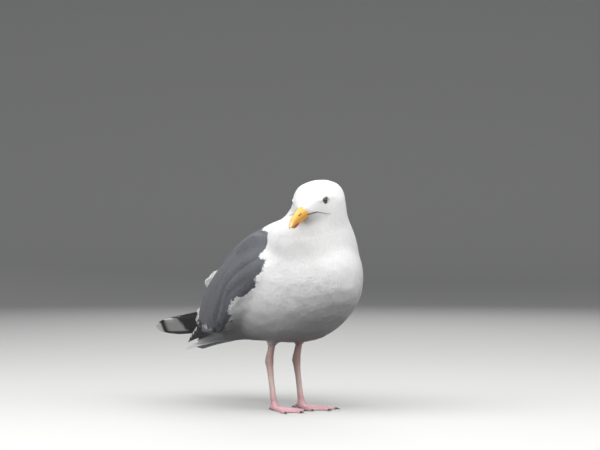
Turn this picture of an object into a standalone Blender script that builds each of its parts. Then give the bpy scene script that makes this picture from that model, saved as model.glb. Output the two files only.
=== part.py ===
"""A western gull standing at rest, life size, as a still museum model.

Metres, +Z up. The bird faces +X and its left side is +Y. It stands on the floor, z = 0.
The body is modelled whole as a soft union of lofts, then parted by thin cuts into the
pieces a person would name. The origin ends up below the middle of the whole bird's box.
"""

from math import cos, pi, radians, sin

import bmesh
import bpy
from mathutils import Matrix, Vector

# Gaps and mesh fineness
GAP = 0.0004  # clear space between two touching pieces
GRAIN = 0.0042  # voxel of the soft union
BODY_SHARE = 0.0448  # share of the union's faces that is kept
BODY_CLEAR = 0.0007  # how far the blades, the bill and the thighs keep clear of the body
SHARP = radians(42)  # edges steeper than this are shaded sharp

# The trunk: upright slices from breast to tail root, each
# (x, height of its middle, half width, half depth)
TRUNK = [
    (0.137, 0.186, 0.012, 0.014),
    (0.126, 0.187, 0.033, 0.036),
    (0.095, 0.184, 0.060, 0.062),
    (0.050, 0.178, 0.075, 0.080),
    (0.000, 0.174, 0.079, 0.080),
    (-0.050, 0.166, 0.073, 0.072),
    (-0.090, 0.153, 0.060, 0.060),
    (-0.125, 0.134, 0.042, 0.044),
    (-0.155, 0.113, 0.027, 0.027),
    (-0.182, 0.095, 0.018, 0.015),
    (-0.204, 0.084, 0.014, 0.007),
]

# The back between the shoulders, same kind of slices; it carries the hind neck's slope
BACK = [
    (0.060, 0.238, 0.030, 0.030),
    (0.020, 0.230, 0.046, 0.040),
    (-0.020, 0.217, 0.052, 0.042),
    (-0.060, 0.204, 0.050, 0.041),
    (-0.100, 0.187, 0.038, 0.037),
    (-0.140, 0.166, 0.024, 0.027),
    (-0.165, 0.150, 0.012, 0.014),
]

# The neck: level slices from inside the breast to the nape, each
# (height, x, y, half length, half width)
NECK = [
    (0.195, 0.068, 0.000, 0.060, 0.060),
    (0.225, 0.061, -0.002, 0.064, 0.064),
    (0.245, 0.062, -0.004, 0.059, 0.060),
    (0.258, 0.066, -0.005, 0.053, 0.052),
    (0.270, 0.075, -0.005, 0.044, 0.042),
    (0.284, 0.083, -0.006, 0.036, 0.036),
    (0.298, 0.085, -0.006, 0.032, 0.032),
    (0.309, 0.087, -0.008, 0.021, 0.021),
]

# The head turns and dips about the middle of the skull.
SKULL = Vector((0.0841, -0.0118, 0.2825))
HEAD_TURN = radians(-64.5)
HEAD_DIP = radians(13.3)
HEAD_ROLL = radians(4)
SKULL_TO_BILL = 0.036  # from the middle of the skull to the feathers' edge on the bill

# The head in its own frame, from nape to bill, each (distance ahead of the bill's feather
# edge, middle height, half width, half up, half down, how far its top draws in)
HEAD = [
    (-0.081, 0.004, 0.012, 0.010, 0.012, 0.05),
    (-0.075, 0.005, 0.024, 0.020, 0.024, 0.04),
    (-0.057, 0.006, 0.0336, 0.0275, 0.030, 0.00),
    (-0.037, 0.006, 0.0342, 0.0290, 0.029, 0.00),
    (-0.020, 0.003, 0.0290, 0.0285, 0.024, 0.10),
    (-0.007, 0.001, 0.0215, 0.0235, 0.017, 0.10),
    (0.002, 0.001, 0.0130, 0.0160, 0.011, 0.10),
    (0.008, 0.003, 0.0096, 0.0105, 0.007, 0.00),
    (0.0135, 0.0068, 0.0070, 0.0048, 0.0038, 0.00),
]

# The bill in the head's frame, from its root out to the hooked tip, each
# (distance, height of the line where it closes, upper half width, upper height,
#  lower half width, lower depth). The lower half ends inside the hook.
BILL = [
    (-0.0120, 0.0000, 0.0086, 0.0110, 0.0080, 0.0078),
    (0.0040, 0.0000, 0.0086, 0.0112, 0.0078, 0.0080),
    (0.0140, -0.0008, 0.0078, 0.0112, 0.0070, 0.0076),
    (0.0240, -0.0022, 0.0062, 0.0098, 0.0055, 0.0077),
    (0.0340, -0.0040, 0.0048, 0.0078, 0.0042, 0.0079),
    (0.0400, -0.0053, 0.0041, 0.0064, 0.0031, 0.0068),
    (0.0450, -0.0068, 0.0033, 0.0048, 0.0012, 0.0026),
    (0.0490, -0.0086, 0.0024, 0.0032, 0.0, 0.0),
    (0.0512, -0.0100, 0.0014, 0.0016, 0.0, 0.0),
    (0.0520, -0.0107, 0.0005, 0.0006, 0.0, 0.0),
]
LOWER_BILL_END = 0.0450

# Eyes, in the head's frame
EYE_AT = Vector((-0.0178, 0.0206, 0.0120))  # the left eye's middle
EYE_RADIUS = 0.0064

# Folded wing, right side; the left one is its mirror image.
# Panel slices from the bend to the tertials' end, each
# (x, distance out, height, half height, half thickness, inward lean of its top, bow)
WING = [
    (0.046, 0.070, 0.200, 0.012, 0.004, 22, 0.002),
    (0.030, 0.068, 0.200, 0.030, 0.009, 24, 0.006),
    (0.000, 0.061, 0.192, 0.048, 0.011, 26, 0.012),
    (-0.040, 0.052, 0.174, 0.067, 0.011, 24, 0.018),
    (-0.080, 0.041, 0.164, 0.068, 0.010, 24, 0.019),
    (-0.120, 0.030, 0.155, 0.056, 0.009, 25, 0.015),
    (-0.150, 0.022, 0.145, 0.042, 0.007, 27, 0.010),
    (-0.180, 0.015, 0.130, 0.024, 0.004, 30, 0.004),
]
WING_LIFT = {"left": 0.008, "right": 0.0}  # how much higher the panel's hind end is held
# The shoulder feathers and the wing coverts each swell the panel in a long lobe that
# runs down and back: (x, distance out, height, half length, half breadth, half thickness)
LOBE_SLOPE = radians(38)
LOBE_CLOSING = 0.16  # how much the lobes near the middle plane as they run back
LOBE_FACES_UP = 0.30  # how far their outer face is turned upward
LOBES = [
    (-0.052, 0.043, 0.189, 0.088, 0.031, 0.017),
    (-0.022, 0.067, 0.155, 0.074, 0.026, 0.014),
]

# The mould that cuts a panel out of the body
MOULD_REACH = 0.030  # how far it stands out beyond the panel's middle
MOULD_FULLNESS = 0.35  # below 1 its outer face is fuller than an ellipse
MOULD_BED = 0.001  # how much deeper than half the panel's thickness it cuts
MOULD_INSET = 0.002  # how far its edges stay inside the panel's own

# Feather blades of each wing, on their middle lines: (x, y, height, half width). The
# tertials close the panel's hind end. The primaries come out from under it; the right tip
# passes under the left one, and both reach past the tail.
TERTIALS = {
    "left": [
        (-0.100, 0.034, 0.178, 0.014),
        (-0.155, 0.021, 0.179, 0.016),
        (-0.190, 0.013, 0.1745, 0.0145),
        (-0.209, 0.009, 0.169, 0.009),
    ],
    "right": [
        (-0.090, -0.038, 0.160, 0.018),
        (-0.140, -0.024, 0.149, 0.022),
        (-0.175, -0.014, 0.133, 0.021),
        (-0.200, -0.008, 0.114, 0.014),
    ],
}
PRIMARIES = {
    "left": [
        (-0.180, 0.0165, 0.1190, 0.0150),
        (-0.205, 0.0085, 0.1140, 0.0175),
        (-0.240, -0.003, 0.1085, 0.0160),
        (-0.275, -0.014, 0.105, 0.0125),
        (-0.297, -0.020, 0.103, 0.005),
    ],
    "right": [
        (-0.140, -0.0365, 0.1065, 0.0070),
        (-0.165, -0.0275, 0.1025, 0.0095),
        (-0.195, -0.0160, 0.0985, 0.0100),
        (-0.225, -0.0050, 0.0920, 0.0080),
        (-0.2545, 0.0060, 0.0812, 0.0020),
    ],
}
BLADE_HALF_THICKNESS = 0.0028
BLADE_THIN = 0.55  # its thickness at the tip, as a share of the full one
BLADE_THINS_OVER = 0.12  # and the stretch over which it thins
BLADE_TIP_ROUND = 0.006  # over this last stretch a blade rounds off
PRIMARY_LEAN = {"left": radians(64), "right": radians(70)}  # its outer edge hangs lower
TERTIAL_LEAN = {"left": radians(66), "right": radians(72)}

# Tail: a closed fan, (x, height, half width, half thickness)
TAIL = [
    (-0.110, 0.1030, 0.0150, 0.0060),
    (-0.150, 0.0935, 0.0170, 0.0055),
    (-0.186, 0.0850, 0.0180, 0.0050),
    (-0.215, 0.0800, 0.0185, 0.0044),
    (-0.229, 0.0775, 0.0175, 0.0038),
    (-0.234, 0.0770, 0.0140, 0.0028),
]
TAIL_ARCH = 0.60  # how far the fan's sides droop, as a share of its half width

# Legs: upright stacks of level slices, (height, x, half width, half depth)
LEG_OUT = 0.024  # from midway between the legs to each leg
LEGS_AT = (-0.0063, 0.0049)  # midway between the legs, below the bird's weight
THIGH = [
    (0.128, 0.012, 0.020, 0.030),
    (0.108, 0.007, 0.014, 0.020),
    (0.098, 0.002, 0.009, 0.011),
    (0.0905, -0.001, 0.0062, 0.0070),
]
SHANK = [
    (0.0901, -0.0012, 0.0044, 0.0050),
    (0.0800, -0.0042, 0.0045, 0.0051),
    (0.0725, -0.0066, 0.0050, 0.0061),
    (0.0665, -0.0072, 0.0054, 0.0067),
    (0.0600, -0.0060, 0.0043, 0.0056),
    (0.0450, -0.0032, 0.0034, 0.0046),
    (0.0300, -0.0004, 0.0033, 0.0044),
    (0.0180, 0.0020, 0.0037, 0.0047),
    (0.0125, 0.0034, 0.0041, 0.0050),
]
ANKLE = [
    (0.0121, 0.0035, 0.0042, 0.0051),
    (0.0080, 0.0046, 0.0052, 0.0064),
    (0.0045, 0.0054, 0.0060, 0.0076),
    (0.0016, 0.0060, 0.0056, 0.0076),
    (0.0000, 0.0058, 0.0044, 0.0064),
]

# Toes: name, turn from straight ahead away from the body's middle, length
TOES = [("inner", -22, 0.046), ("middle", 1, 0.056), ("outer", 24, 0.052)]
TOES_ROOT_X = 0.005
TOE_IN = {"left": 2, "right": 3}
TOE_HALF = 0.0030
TOE_HEIGHT = 0.0052
TOE_STEPS = 7
TOE_ROOT_RISE = 0.0010  # how far a toe's underside clears the floor at its root
WEB_THICK = 0.0012
WEB_CLEAR = 0.0006  # how far the web clears the floor
WEB_REACH = 0.90  # share of a toe's length that the web joins
WEB_DIP = 0.74  # how far the web's edge is drawn in midway between two toes
CLAW_LENGTH = 0.0085
CLAW_HALF = 0.0015
CLAW_DROOP = 0.0012  # how far a claw's tip curves down, as far as the floor lets it
HIND_TOE = (0.001, 0.0056)  # x and height where it leaves the ankle
HIND_TOE_DIP = radians(25)
HIND_TOE_HALF = 0.0024
HIND_TOE_LENGTH = 0.0110
HIND_CLAW_LENGTH = 0.0045
HIND_CLAW_CLEAR = 0.0012

SIDES = {"left": 1, "right": -1}

# The grey mantle is what lies above a sloping plane and behind an upright one.
MANTLE_UNDER = (Vector((0.000, 0.0, 0.238)), Vector((-0.46, 0.0, 0.89)).normalized())
MANTLE_FRONT = (Vector((0.002, 0.0, 0.240)), Vector((-0.90, 0.0, 0.44)).normalized())

# Cuts between head, neck and trunk: a point and the way to the head's side
NAPE_CUT = (Vector((0.076, -0.008, 0.259)), Vector((0.11, -0.24, 0.96)).normalized())
NECK_CUT = (Vector((0.050, 0.0, 0.226)), Vector((0.42, 0.0, 0.90)).normalized())

COLOURS = {
    "white_plumage": ((0.86, 0.86, 0.86), 0.85),
    "grey_plumage": ((0.12, 0.12, 0.13), 0.80),
    "black_plumage": ((0.015, 0.014, 0.015), 0.70),
    "bill": ((0.75, 0.46, 0.10), 0.40),
    "eye": ((0.06, 0.045, 0.03), 0.08),
    "leg_skin": ((0.60, 0.36, 0.36), 0.55),
    "claw": ((0.03, 0.025, 0.025), 0.45),
}


def material(name):
    found = bpy.data.materials.get(name)
    if found:
        return found
    made = bpy.data.materials.new(name)
    made.use_nodes = True
    shader = made.node_tree.nodes["Principled BSDF"]
    colour, roughness = COLOURS[name]
    shader.inputs["Base Color"].default_value = (*colour, 1.0)
    shader.inputs["Roughness"].default_value = roughness
    shader.inputs["Metallic"].default_value = 0.0
    return made


def eased(rows, steps):
    """Rows on a smooth curve (Catmull-Rom) through the given rows, `steps` to each gap."""
    rows = [tuple(r) for r in rows]
    padded = [rows[0], *rows, rows[-1]]
    out = []
    for before, start, end, after in zip(padded, padded[1:], padded[2:], padded[3:]):
        for step in range(steps):
            t = step / steps
            out.append(
                [
                    q + 0.5 * t * (r - p + t * (2 * p - 5 * q + 4 * r - s + t * (3 * (q - r) + s - p)))
                    for p, q, r, s in zip(before, start, end, after)
                ]
            )
    out.append(list(rows[-1]))
    return out


def rounded(angle, half_width, half_up, half_down, squareness=2.0):
    """A point of a rounded outline: an ellipse at squareness 2, fuller above it."""
    c, s = cos(angle), sin(angle)
    power = 2 / squareness
    across = abs(c) ** power * (1 if c >= 0 else -1) * half_width
    up = abs(s) ** power * (half_up if s >= 0 else -half_down)
    return across, up


def turn_around(sides):
    return [2 * pi * i / sides for i in range(sides)]


def new_object(name, mesh, finish):
    mesh.materials.append(material(finish))
    obj = bpy.data.objects.new(name, mesh)
    bpy.context.scene.collection.objects.link(obj)
    return obj


def loft(name, rings, finish):
    """A closed body skinned over rings of points, with a flat cap at each end."""
    bm = bmesh.new()
    loops = [[bm.verts.new(p) for p in ring] for ring in rings]
    for near, far in zip(loops, loops[1:]):
        for i, start in enumerate(near):
            j = (i + 1) % len(near)
            bm.faces.new((start, near[j], far[j]))
            bm.faces.new((start, far[j], far[i]))
    bm.faces.new(loops[0])
    bm.faces.new(loops[-1])
    bmesh.ops.recalc_face_normals(bm, faces=bm.faces)
    mesh = bpy.data.meshes.new(name)
    bm.to_mesh(mesh)
    bm.free()
    return new_object(name, mesh, finish)


def joined(name, objects):
    """One object that holds the meshes of several, which it replaces."""
    bm = bmesh.new()
    for obj in objects:
        bm.from_mesh(obj.data)
    mesh = bpy.data.meshes.new(name)
    bm.to_mesh(mesh)
    bm.free()
    finish = objects[0].data.materials[0].name
    for obj in objects:
        bpy.data.objects.remove(obj)
    return new_object(name, mesh, finish)


def settle(obj):
    """Puts what the modifiers make into the object's own mesh."""
    evaluated = obj.evaluated_get(bpy.context.evaluated_depsgraph_get())
    mesh = bpy.data.meshes.new_from_object(evaluated)
    obj.modifiers.clear()
    obj.data = mesh
    return obj


def copy_of(obj, name, grown=0.0):
    """A copy, its surface moved out along its normals by `grown`."""
    twin = bpy.data.objects.new(name, obj.data.copy())
    bpy.context.scene.collection.objects.link(twin)
    if grown:
        normals = [v.normal.copy() for v in twin.data.vertices]
        for vertex, normal in zip(twin.data.vertices, normals):
            vertex.co += normal * grown
    return twin


def shaped_by(obj, operation, tool, keep_tool=False):
    """Runs one Boolean on obj with the tool object, which is then removed."""
    cut = obj.modifiers.new("shape", "BOOLEAN")
    cut.operation = operation
    cut.solver = "EXACT"
    cut.object = tool
    settle(obj)
    weld(obj)
    if not keep_tool:
        bpy.data.objects.remove(tool)
    return obj


def weld(obj):
    """Merges corners that a cut left all but on top of each other."""
    bm = bmesh.new()
    bm.from_mesh(obj.data)
    bmesh.ops.remove_doubles(bm, verts=bm.verts, dist=0.000005)
    bmesh.ops.dissolve_degenerate(bm, edges=bm.edges, dist=0.000005)
    bm.to_mesh(obj.data)
    bm.free()


def slab(name, point, normal, reach=0.6):
    """A big block that fills the side of a plane that its normal points to."""
    bm = bmesh.new()
    bmesh.ops.create_cube(bm, size=2 * reach)
    mesh = bpy.data.meshes.new(name)
    bm.to_mesh(mesh)
    bm.free()
    obj = new_object(name, mesh, "white_plumage")
    normal = Vector(normal).normalized()
    turn = Vector((0, 0, 1)).rotation_difference(normal).to_matrix().to_4x4()
    obj.data.transform(Matrix.Translation(Vector(point) + normal * reach) @ turn)
    return obj


def head_frame():
    """Turns the head's own axes (ahead, left, up) and its bill root into the bird's frame."""
    turn = (
        Matrix.Rotation(HEAD_TURN, 4, "Z")
        @ Matrix.Rotation(HEAD_DIP, 4, "Y")
        @ Matrix.Rotation(HEAD_ROLL, 4, "X")
    )
    bill_root = SKULL + turn @ Vector((SKULL_TO_BILL, 0, 0))
    return Matrix.Translation(bill_root) @ turn


def trunk_form(name, stations):
    rings = []
    for x, z, half_w, half_d in eased(stations, 3):
        ring = []
        for a in turn_around(36):
            across, up = rounded(a, half_w, half_d, half_d, 2.15)
            ring.append(Vector((x, across, z + up)))
        rings.append(ring)
    return loft(name, rings, "white_plumage")


def neck_form():
    rings = []
    for z, x, y, half_l, half_w in eased(NECK, 3):
        rings.append(
            [Vector((x + half_l * cos(a), y + half_w * sin(a), z)) for a in turn_around(32)]
        )
    return loft("neck_form", rings, "white_plumage")


def head_form():
    """An egg with a flat crown: its slices are narrower above the eyes than at the cheeks."""
    place = head_frame()
    rings = []
    for x, z, half_w, half_up, half_down, drawn_in in eased(HEAD, 3):
        ring = []
        for a in turn_around(32):
            across, up = rounded(a, half_w, half_up, half_down, 2.45)
            across *= 1 - drawn_in * max(0.0, up / half_up)
            ring.append(place @ Vector((x, across, z + up)))
        rings.append(ring)
    return loft("head_form", rings, "white_plumage")


def wing_slices(side, steps):
    """The panel's slices as (middle, up, outward, half height, half thickness, bow)."""
    out = SIDES[side]
    hind = WING[-1][0]
    slices = []
    for x, y, z, half_h, half_t, lean, bow in eased(WING, steps):
        lean = radians(lean)
        z += WING_LIFT[side] * max(0.0, x / hind) ** 2
        up = Vector((0, -out * sin(lean), cos(lean)))
        outward = Vector((0, out * cos(lean), sin(lean)))
        slices.append((Vector((x, out * y, z)), up, outward, half_h, half_t, bow))
    return slices


def wing_panel(side):
    rings = []
    for middle, up, outward, half_h, half_t, bow in wing_slices(side, 3):
        ring = []
        for a in turn_around(28):
            share = sin(a)
            bulge = bow * (1 - share * share) + half_t * cos(a)
            ring.append(middle + up * half_h * share + outward * bulge)
        rings.append(ring)
    return loft("wing_panel", rings, "grey_plumage")


def wing_lobes(side):
    out = SIDES[side]
    forms = []
    for x, y, z, half_l, half_b, half_t in LOBES:
        along = Vector((-cos(LOBE_SLOPE), -out * LOBE_CLOSING, -sin(LOBE_SLOPE))).normalized()
        across = Vector((0, out, LOBE_FACES_UP)).cross(along).normalized()
        outward = along.cross(across)
        rings = []
        for tip in turn_around(32)[1:16]:
            size = sin(tip)
            middle = Vector((x, out * y, z)) + along * (-half_l * cos(tip))
            rings.append(
                [
                    middle + across * half_b * size * cos(a) + outward * half_t * size * sin(a)
                    for a in turn_around(20)
                ]
            )
        forms.append(loft("wing_lobe", rings, "grey_plumage"))
    return forms


def whole_body():
    """Trunk, neck, head and folded wings as one soft body."""
    forms = [trunk_form("trunk_form", TRUNK), trunk_form("back_form", BACK)]
    forms += [neck_form(), head_form()]
    for side in SIDES:
        forms += [wing_panel(side), *wing_lobes(side)]
    body = joined("body", forms)
    union = body.modifiers.new("union", "REMESH")
    union.mode = "VOXEL"
    union.voxel_size = GRAIN
    soften = body.modifiers.new("soften", "SMOOTH")
    soften.factor = 0.5
    soften.iterations = 6
    thin = body.modifiers.new("thin", "DECIMATE")
    thin.ratio = BODY_SHARE
    return settle(body)


def wing_mould(side, grown):
    """The space that a folded wing takes out of the whole body, its outer face well clear."""
    out = SIDES[side]
    rings = []
    slices = wing_slices(side, 2)
    for i, (middle, up, outward, half_h, half_t, bow) in enumerate(slices):
        end = (i == 0) - (i == len(slices) - 1)
        middle = middle + Vector((end * grown, 0, 0))
        ring = []
        for a in turn_around(16):
            share = sin(a)
            if cos(a) > 0.01:
                reach = MOULD_REACH * cos(a) ** MOULD_FULLNESS + grown
            else:
                reach = (half_t * 0.5 + MOULD_BED) * cos(a) - grown
            bulge = bow * (1 - share * share) + reach
            ring.append(middle + up * (half_h - MOULD_INSET + grown) * share + outward * bulge)
        rings.append(ring)
    mould = loft("mould", rings, "grey_plumage")
    middle_plane = Vector((0, out * (GAP / 2 - 2 * grown), 0))
    return sliced(mould, middle_plane, Vector((0, out, 0)))


def wing_from(body, side):
    """Takes one folded wing out of the whole body by a thin cut."""
    wing = copy_of(body, f"wing_{side}")
    shaped_by(wing, "INTERSECT", wing_mould(side, 0.0))
    keep_largest(wing)
    repaint(wing, "grey_plumage")
    shaped_by(body, "DIFFERENCE", wing_mould(side, GAP))
    return wing


def repaint(obj, finish):
    obj.data.materials.clear()
    obj.data.materials.append(material(finish))


def sliced(obj, point, normal):
    """Keeps the side of a plane that its normal points to, and closes the cut flat."""
    bm = bmesh.new()
    bm.from_mesh(obj.data)
    everything = [*bm.verts, *bm.edges, *bm.faces]
    bmesh.ops.bisect_plane(bm, geom=everything, plane_co=point, plane_no=normal, clear_inner=True)
    open_edges = [e for e in bm.edges if len(e.link_faces) == 1]
    bmesh.ops.holes_fill(bm, edges=open_edges, sides=0)
    bmesh.ops.recalc_face_normals(bm, faces=bm.faces)
    bm.to_mesh(obj.data)
    bm.free()
    return obj


def mantle_mould(grown):
    """The wedge of space over the back that the mantle takes."""
    under, up = MANTLE_UNDER
    front, back = MANTLE_FRONT
    wedge = slab("wedge", under - up * grown, up)
    return sliced(wedge, front - back * grown, back)


def part_body(body):
    """Parts what is left of the body: the mantle off the top, then nape and neck cuts."""
    mantle = copy_of(body, "mantle")
    shaped_by(mantle, "INTERSECT", mantle_mould(0.0))
    keep_largest(mantle)
    repaint(mantle, "grey_plumage")
    shaped_by(body, "DIFFERENCE", mantle_mould(GAP))
    keep_largest(body)
    pieces = {"mantle": mantle}
    for name, above, below in [
        ("head", None, NAPE_CUT),
        ("neck", NAPE_CUT, NECK_CUT),
        ("trunk", NECK_CUT, None),
    ]:
        piece = copy_of(body, name)
        if below:
            point, normal = below
            sliced(piece, point + normal * GAP / 2, normal)
        if above:
            point, normal = above
            sliced(piece, point - normal * GAP / 2, -normal)
        pieces[name] = piece
    bpy.data.objects.remove(body)
    return pieces


def bill_half(name, upper):
    """One half of the bill: flat where the two halves close, arched away from that line."""
    place = head_frame()
    rings = []
    for x, line, upper_w, upper_h, lower_w, lower_h in eased(BILL, 2):
        if not upper and x > LOWER_BILL_END:
            break
        half_w, height = (upper_w, upper_h) if upper else (lower_w, lower_h)
        way = 1 if upper else -1
        ring = []
        for a in [pi * i / 7 for i in range(8)]:
            across, up = rounded(a, half_w, height, height, 2.0)
            ring.append(place @ Vector((x, across, line + way * (GAP / 2 + up))))
        rings.append(ring)
    return loft(name, rings, "bill")


def eye_ball(side, grown=0.0):
    place = head_frame()
    middle = place @ Vector((EYE_AT.x, EYE_AT.y * SIDES[side], EYE_AT.z))
    bm = bmesh.new()
    bmesh.ops.create_uvsphere(bm, u_segments=14, v_segments=8, radius=EYE_RADIUS + grown)
    mesh = bpy.data.meshes.new("eye")
    bm.to_mesh(mesh)
    bm.free()
    eye = new_object(f"eye_{side}", mesh, "eye")
    eye.data.transform(Matrix.Translation(middle))
    return eye


def fit_face(head, around_body):
    """Sets the eyes and the two halves of the bill into the head."""
    for name, upper in (("bill_upper", True), ("bill_lower", False)):
        shaped_by(bill_half(name, upper), "DIFFERENCE", around_body, keep_tool=True)
    for side in SIDES:
        shaped_by(head, "DIFFERENCE", eye_ball(side, GAP))
        eye_ball(side)


def tail():
    rings = []
    for x, z, half_w, half_t in eased(TAIL, 2):
        ring = []
        for a in turn_around(16):
            share = cos(a)
            droop = -TAIL_ARCH * half_w * share * share
            ring.append(Vector((x, half_w * share, z + droop + half_t * sin(a))))
        rings.append(ring)
    return loft("tail", rings, "white_plumage")


def blade(name, rows, out, lean, finish):
    """A closed blade of overlapping feathers: flat, and rounded off at its tip."""
    path = eased(rows, 3)
    end = Vector(path[-1][:3])
    across = Vector((0, out * cos(lean), -sin(lean)))
    rings = []
    for i, (x, y, z, half_w) in enumerate(path):
        point = Vector((x, y, z))
        left = (end - point).length
        round_off = min(1.0, (left / BLADE_TIP_ROUND) ** 0.5 * 0.75 + 0.25)
        nearer = Vector(path[max(i - 1, 0)][:3])
        farther = Vector(path[min(i + 1, len(path) - 1)][:3])
        ahead = (farther - nearer).normalized()
        flat = (across - ahead * across.dot(ahead)).normalized()
        normal = ahead.cross(flat)
        thick = BLADE_HALF_THICKNESS * (BLADE_THIN + (1 - BLADE_THIN) * min(1.0, left / BLADE_THINS_OVER))
        rings.append(
            [
                point + flat * half_w * round_off * cos(a) + normal * thick * round_off * sin(a)
                for a in turn_around(10)
            ]
        )
    return loft(name, rings, finish)


def leg_middle(side):
    """The point on the floor that a leg's slices are set out from."""
    return Vector((LEGS_AT[0], LEGS_AT[1] + SIDES[side] * LEG_OUT, 0))


def leg_stack(name, side, rows, sides, finish):
    """One length of a leg: level oval slices from the top down."""
    middle = leg_middle(side)
    rings = []
    for z, x, half_w, half_d in rows:
        rings.append(
            [
                middle + Vector((x + half_d * cos(a), half_w * sin(a), z))
                for a in turn_around(sides)
            ]
        )
    return loft(f"{name}_{side}", rings, finish)


def toe_way(side, turn):
    """The level direction of a toe, `turn` degrees out from straight ahead."""
    angle = radians(SIDES[side] * turn + TOE_IN[side])
    return Vector((cos(angle), sin(angle), 0))


def toes_root(side):
    return leg_middle(side) + Vector((TOES_ROOT_X, 0, 0))


def flat_bottomed(middle, way, half_w, height, sides=7):
    """A ring across a toe: flat below, arched above, square to `way`."""
    across = Vector((-way.y, way.x, 0))
    ring = []
    for i in range(sides):
        a = pi * i / (sides - 1)
        ring.append(middle + across * half_w * cos(a) + Vector((0, 0, 1)) * height * sin(a) ** 0.7)
    return ring


def toe(side, turn, length):
    """A toe that swells at its joints and, past its root, lies flat on the floor."""
    way = toe_way(side, turn)
    rings = []
    for i in range(TOE_STEPS + 1):
        share = i / TOE_STEPS
        knuckles = 1 + 0.14 * cos(share * 3 * 2 * pi)
        size = (1 - 0.30 * share) * knuckles
        rise = TOE_ROOT_RISE * max(0.0, 1 - 4 * share)
        middle = toes_root(side) + way * length * share + Vector((0, 0, rise))
        height = TOE_HEIGHT * (1 - 0.35 * share) * knuckles - rise
        rings.append(flat_bottomed(middle, way, TOE_HALF * size, height))
    return loft("toe", rings, "leg_skin")


def web(side):
    """The skin between the three front toes, its edge drawn in between them."""
    root = toes_root(side)
    edge = [root - toe_way(side, 0) * 0.002]
    tips = [root + toe_way(side, turn) * length * WEB_REACH for _, turn, length in TOES]
    for start, end in zip(tips, tips[1:]):
        drawn_in = root + ((start + end) / 2 - root) * WEB_DIP
        for step in range(5):
            t = step / 5
            edge.append(start * (1 - t) ** 2 + drawn_in * 2 * t * (1 - t) + end * t * t)
    edge.append(tips[-1])
    under = [Vector((p.x, p.y, WEB_CLEAR)) for p in edge]
    top = [Vector((p.x, p.y, WEB_CLEAR + WEB_THICK)) for p in edge]
    return loft("web", [under, top], "leg_skin")


def hind_toe(side):
    """The small hind toe, whose tip rests on the floor on a little flat."""
    start = leg_middle(side) + Vector((HIND_TOE[0], 0, HIND_TOE[1]))
    way = Vector((-cos(HIND_TOE_DIP), -SIDES[side] * 0.25, -sin(HIND_TOE_DIP))).normalized()
    across = way.cross(Vector((0, 0, 1))).normalized()
    up = across.cross(way)
    rings = []
    for share in (0, 0.5, 1):
        size = HIND_TOE_HALF * (1 - 0.35 * share)
        middle = start + way * HIND_TOE_LENGTH * share
        ring = [middle + across * size * cos(a) + up * size * sin(a) for a in turn_around(8)]
        rings.append([Vector((p.x, p.y, max(0.0, p.z))) for p in ring])
    return loft("hind_toe", rings, "leg_skin"), start + way * HIND_TOE_LENGTH, way


def claw(name, start, way, length, half, clear=GAP):
    """A tapered, down-curved claw that begins a thin gap beyond its toe."""
    across = Vector((-way.y, way.x, 0)).normalized()
    rings = []
    for share in (0, 0.25, 0.5, 0.75, 1):
        size = half * (1 - 0.82 * share)
        middle = start + way * (clear + length * share)
        middle.z = max(size, start.z + way.z * length * share - CLAW_DROOP * share**2)
        rings.append(
            [middle + across * size * 0.8 * cos(a) + Vector((0, 0, size * sin(a))) for a in turn_around(6)]
        )
    return loft(name, rings, "claw")


def foot(side):
    """Ankle, three webbed toes and the hind toe as one piece, with its claws beside it."""
    body = leg_stack("foot", side, ANKLE, 12, "leg_skin")
    shaped_by(body, "UNION", web(side))
    for name, turn, length in TOES:
        shaped_by(body, "UNION", toe(side, turn, length))
        tip = toes_root(side) + toe_way(side, turn) * length + Vector((0, 0, CLAW_HALF + 0.0006))
        claw(f"claw_{side}_{name}", tip, toe_way(side, turn), CLAW_LENGTH, CLAW_HALF)
    hind, tip, way = hind_toe(side)
    shaped_by(body, "UNION", hind)
    claw(f"claw_{side}_hind", tip, way, HIND_CLAW_LENGTH, CLAW_HALF * 0.9, HIND_CLAW_CLEAR)
    return body


def build_feather_blades(around_body, trunk):
    """Tail, tertials and primaries in turn, each cut clear of everything before it."""
    blades = [tail()]
    for kind, table, lean, finish in [
        ("tertials", TERTIALS, TERTIAL_LEAN, "white_plumage"),
        ("primaries", PRIMARIES, PRIMARY_LEAN, "black_plumage"),
    ]:
        for side in ("right", "left"):
            blades.append(blade(f"{kind}_{side}", table[side], SIDES[side], lean[side], finish))
    for i, made in enumerate(blades):
        shaped_by(made, "DIFFERENCE", around_body, keep_tool=True)
        shaped_by(made, "DIFFERENCE", trunk, keep_tool=True)
        for other in blades[:i]:
            if boxes_meet(made, other):
                shaped_by(made, "DIFFERENCE", copy_of(other, "around", GAP))
        keep_largest(made)


def box_of(verts):
    """The low and high corners of the box round a group of corners."""
    low = Vector([min(v.co[i] for v in verts) for i in range(3)])
    high = Vector([max(v.co[i] for v in verts) for i in range(3)])
    return low, high


def boxes_meet(one, other):
    low, high = box_of(one.data.vertices)
    other_low, other_high = box_of(other.data.vertices)
    return all(low[i] < other_high[i] + GAP and other_low[i] < high[i] + GAP for i in range(3))


def keep_largest(obj):
    """Drops the slivers that a cut left beside the main body."""
    bm = bmesh.new()
    bm.from_mesh(obj.data)
    unseen = set(bm.verts)
    islands = []
    while unseen:
        island = [unseen.pop()]
        for vert in island:
            for edge in vert.link_edges:
                other = edge.other_vert(vert)
                if other in unseen:
                    unseen.remove(other)
                    island.append(other)
        islands.append(island)
    islands.sort(key=spread, reverse=True)
    for island in islands[1:]:
        bmesh.ops.delete(bm, geom=island, context="VERTS")
    bm.to_mesh(obj.data)
    bm.free()


def spread(verts):
    """How far a group of corners reaches, as the diagonal of its box."""
    low, high = box_of(verts)
    return (high - low).length


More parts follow.
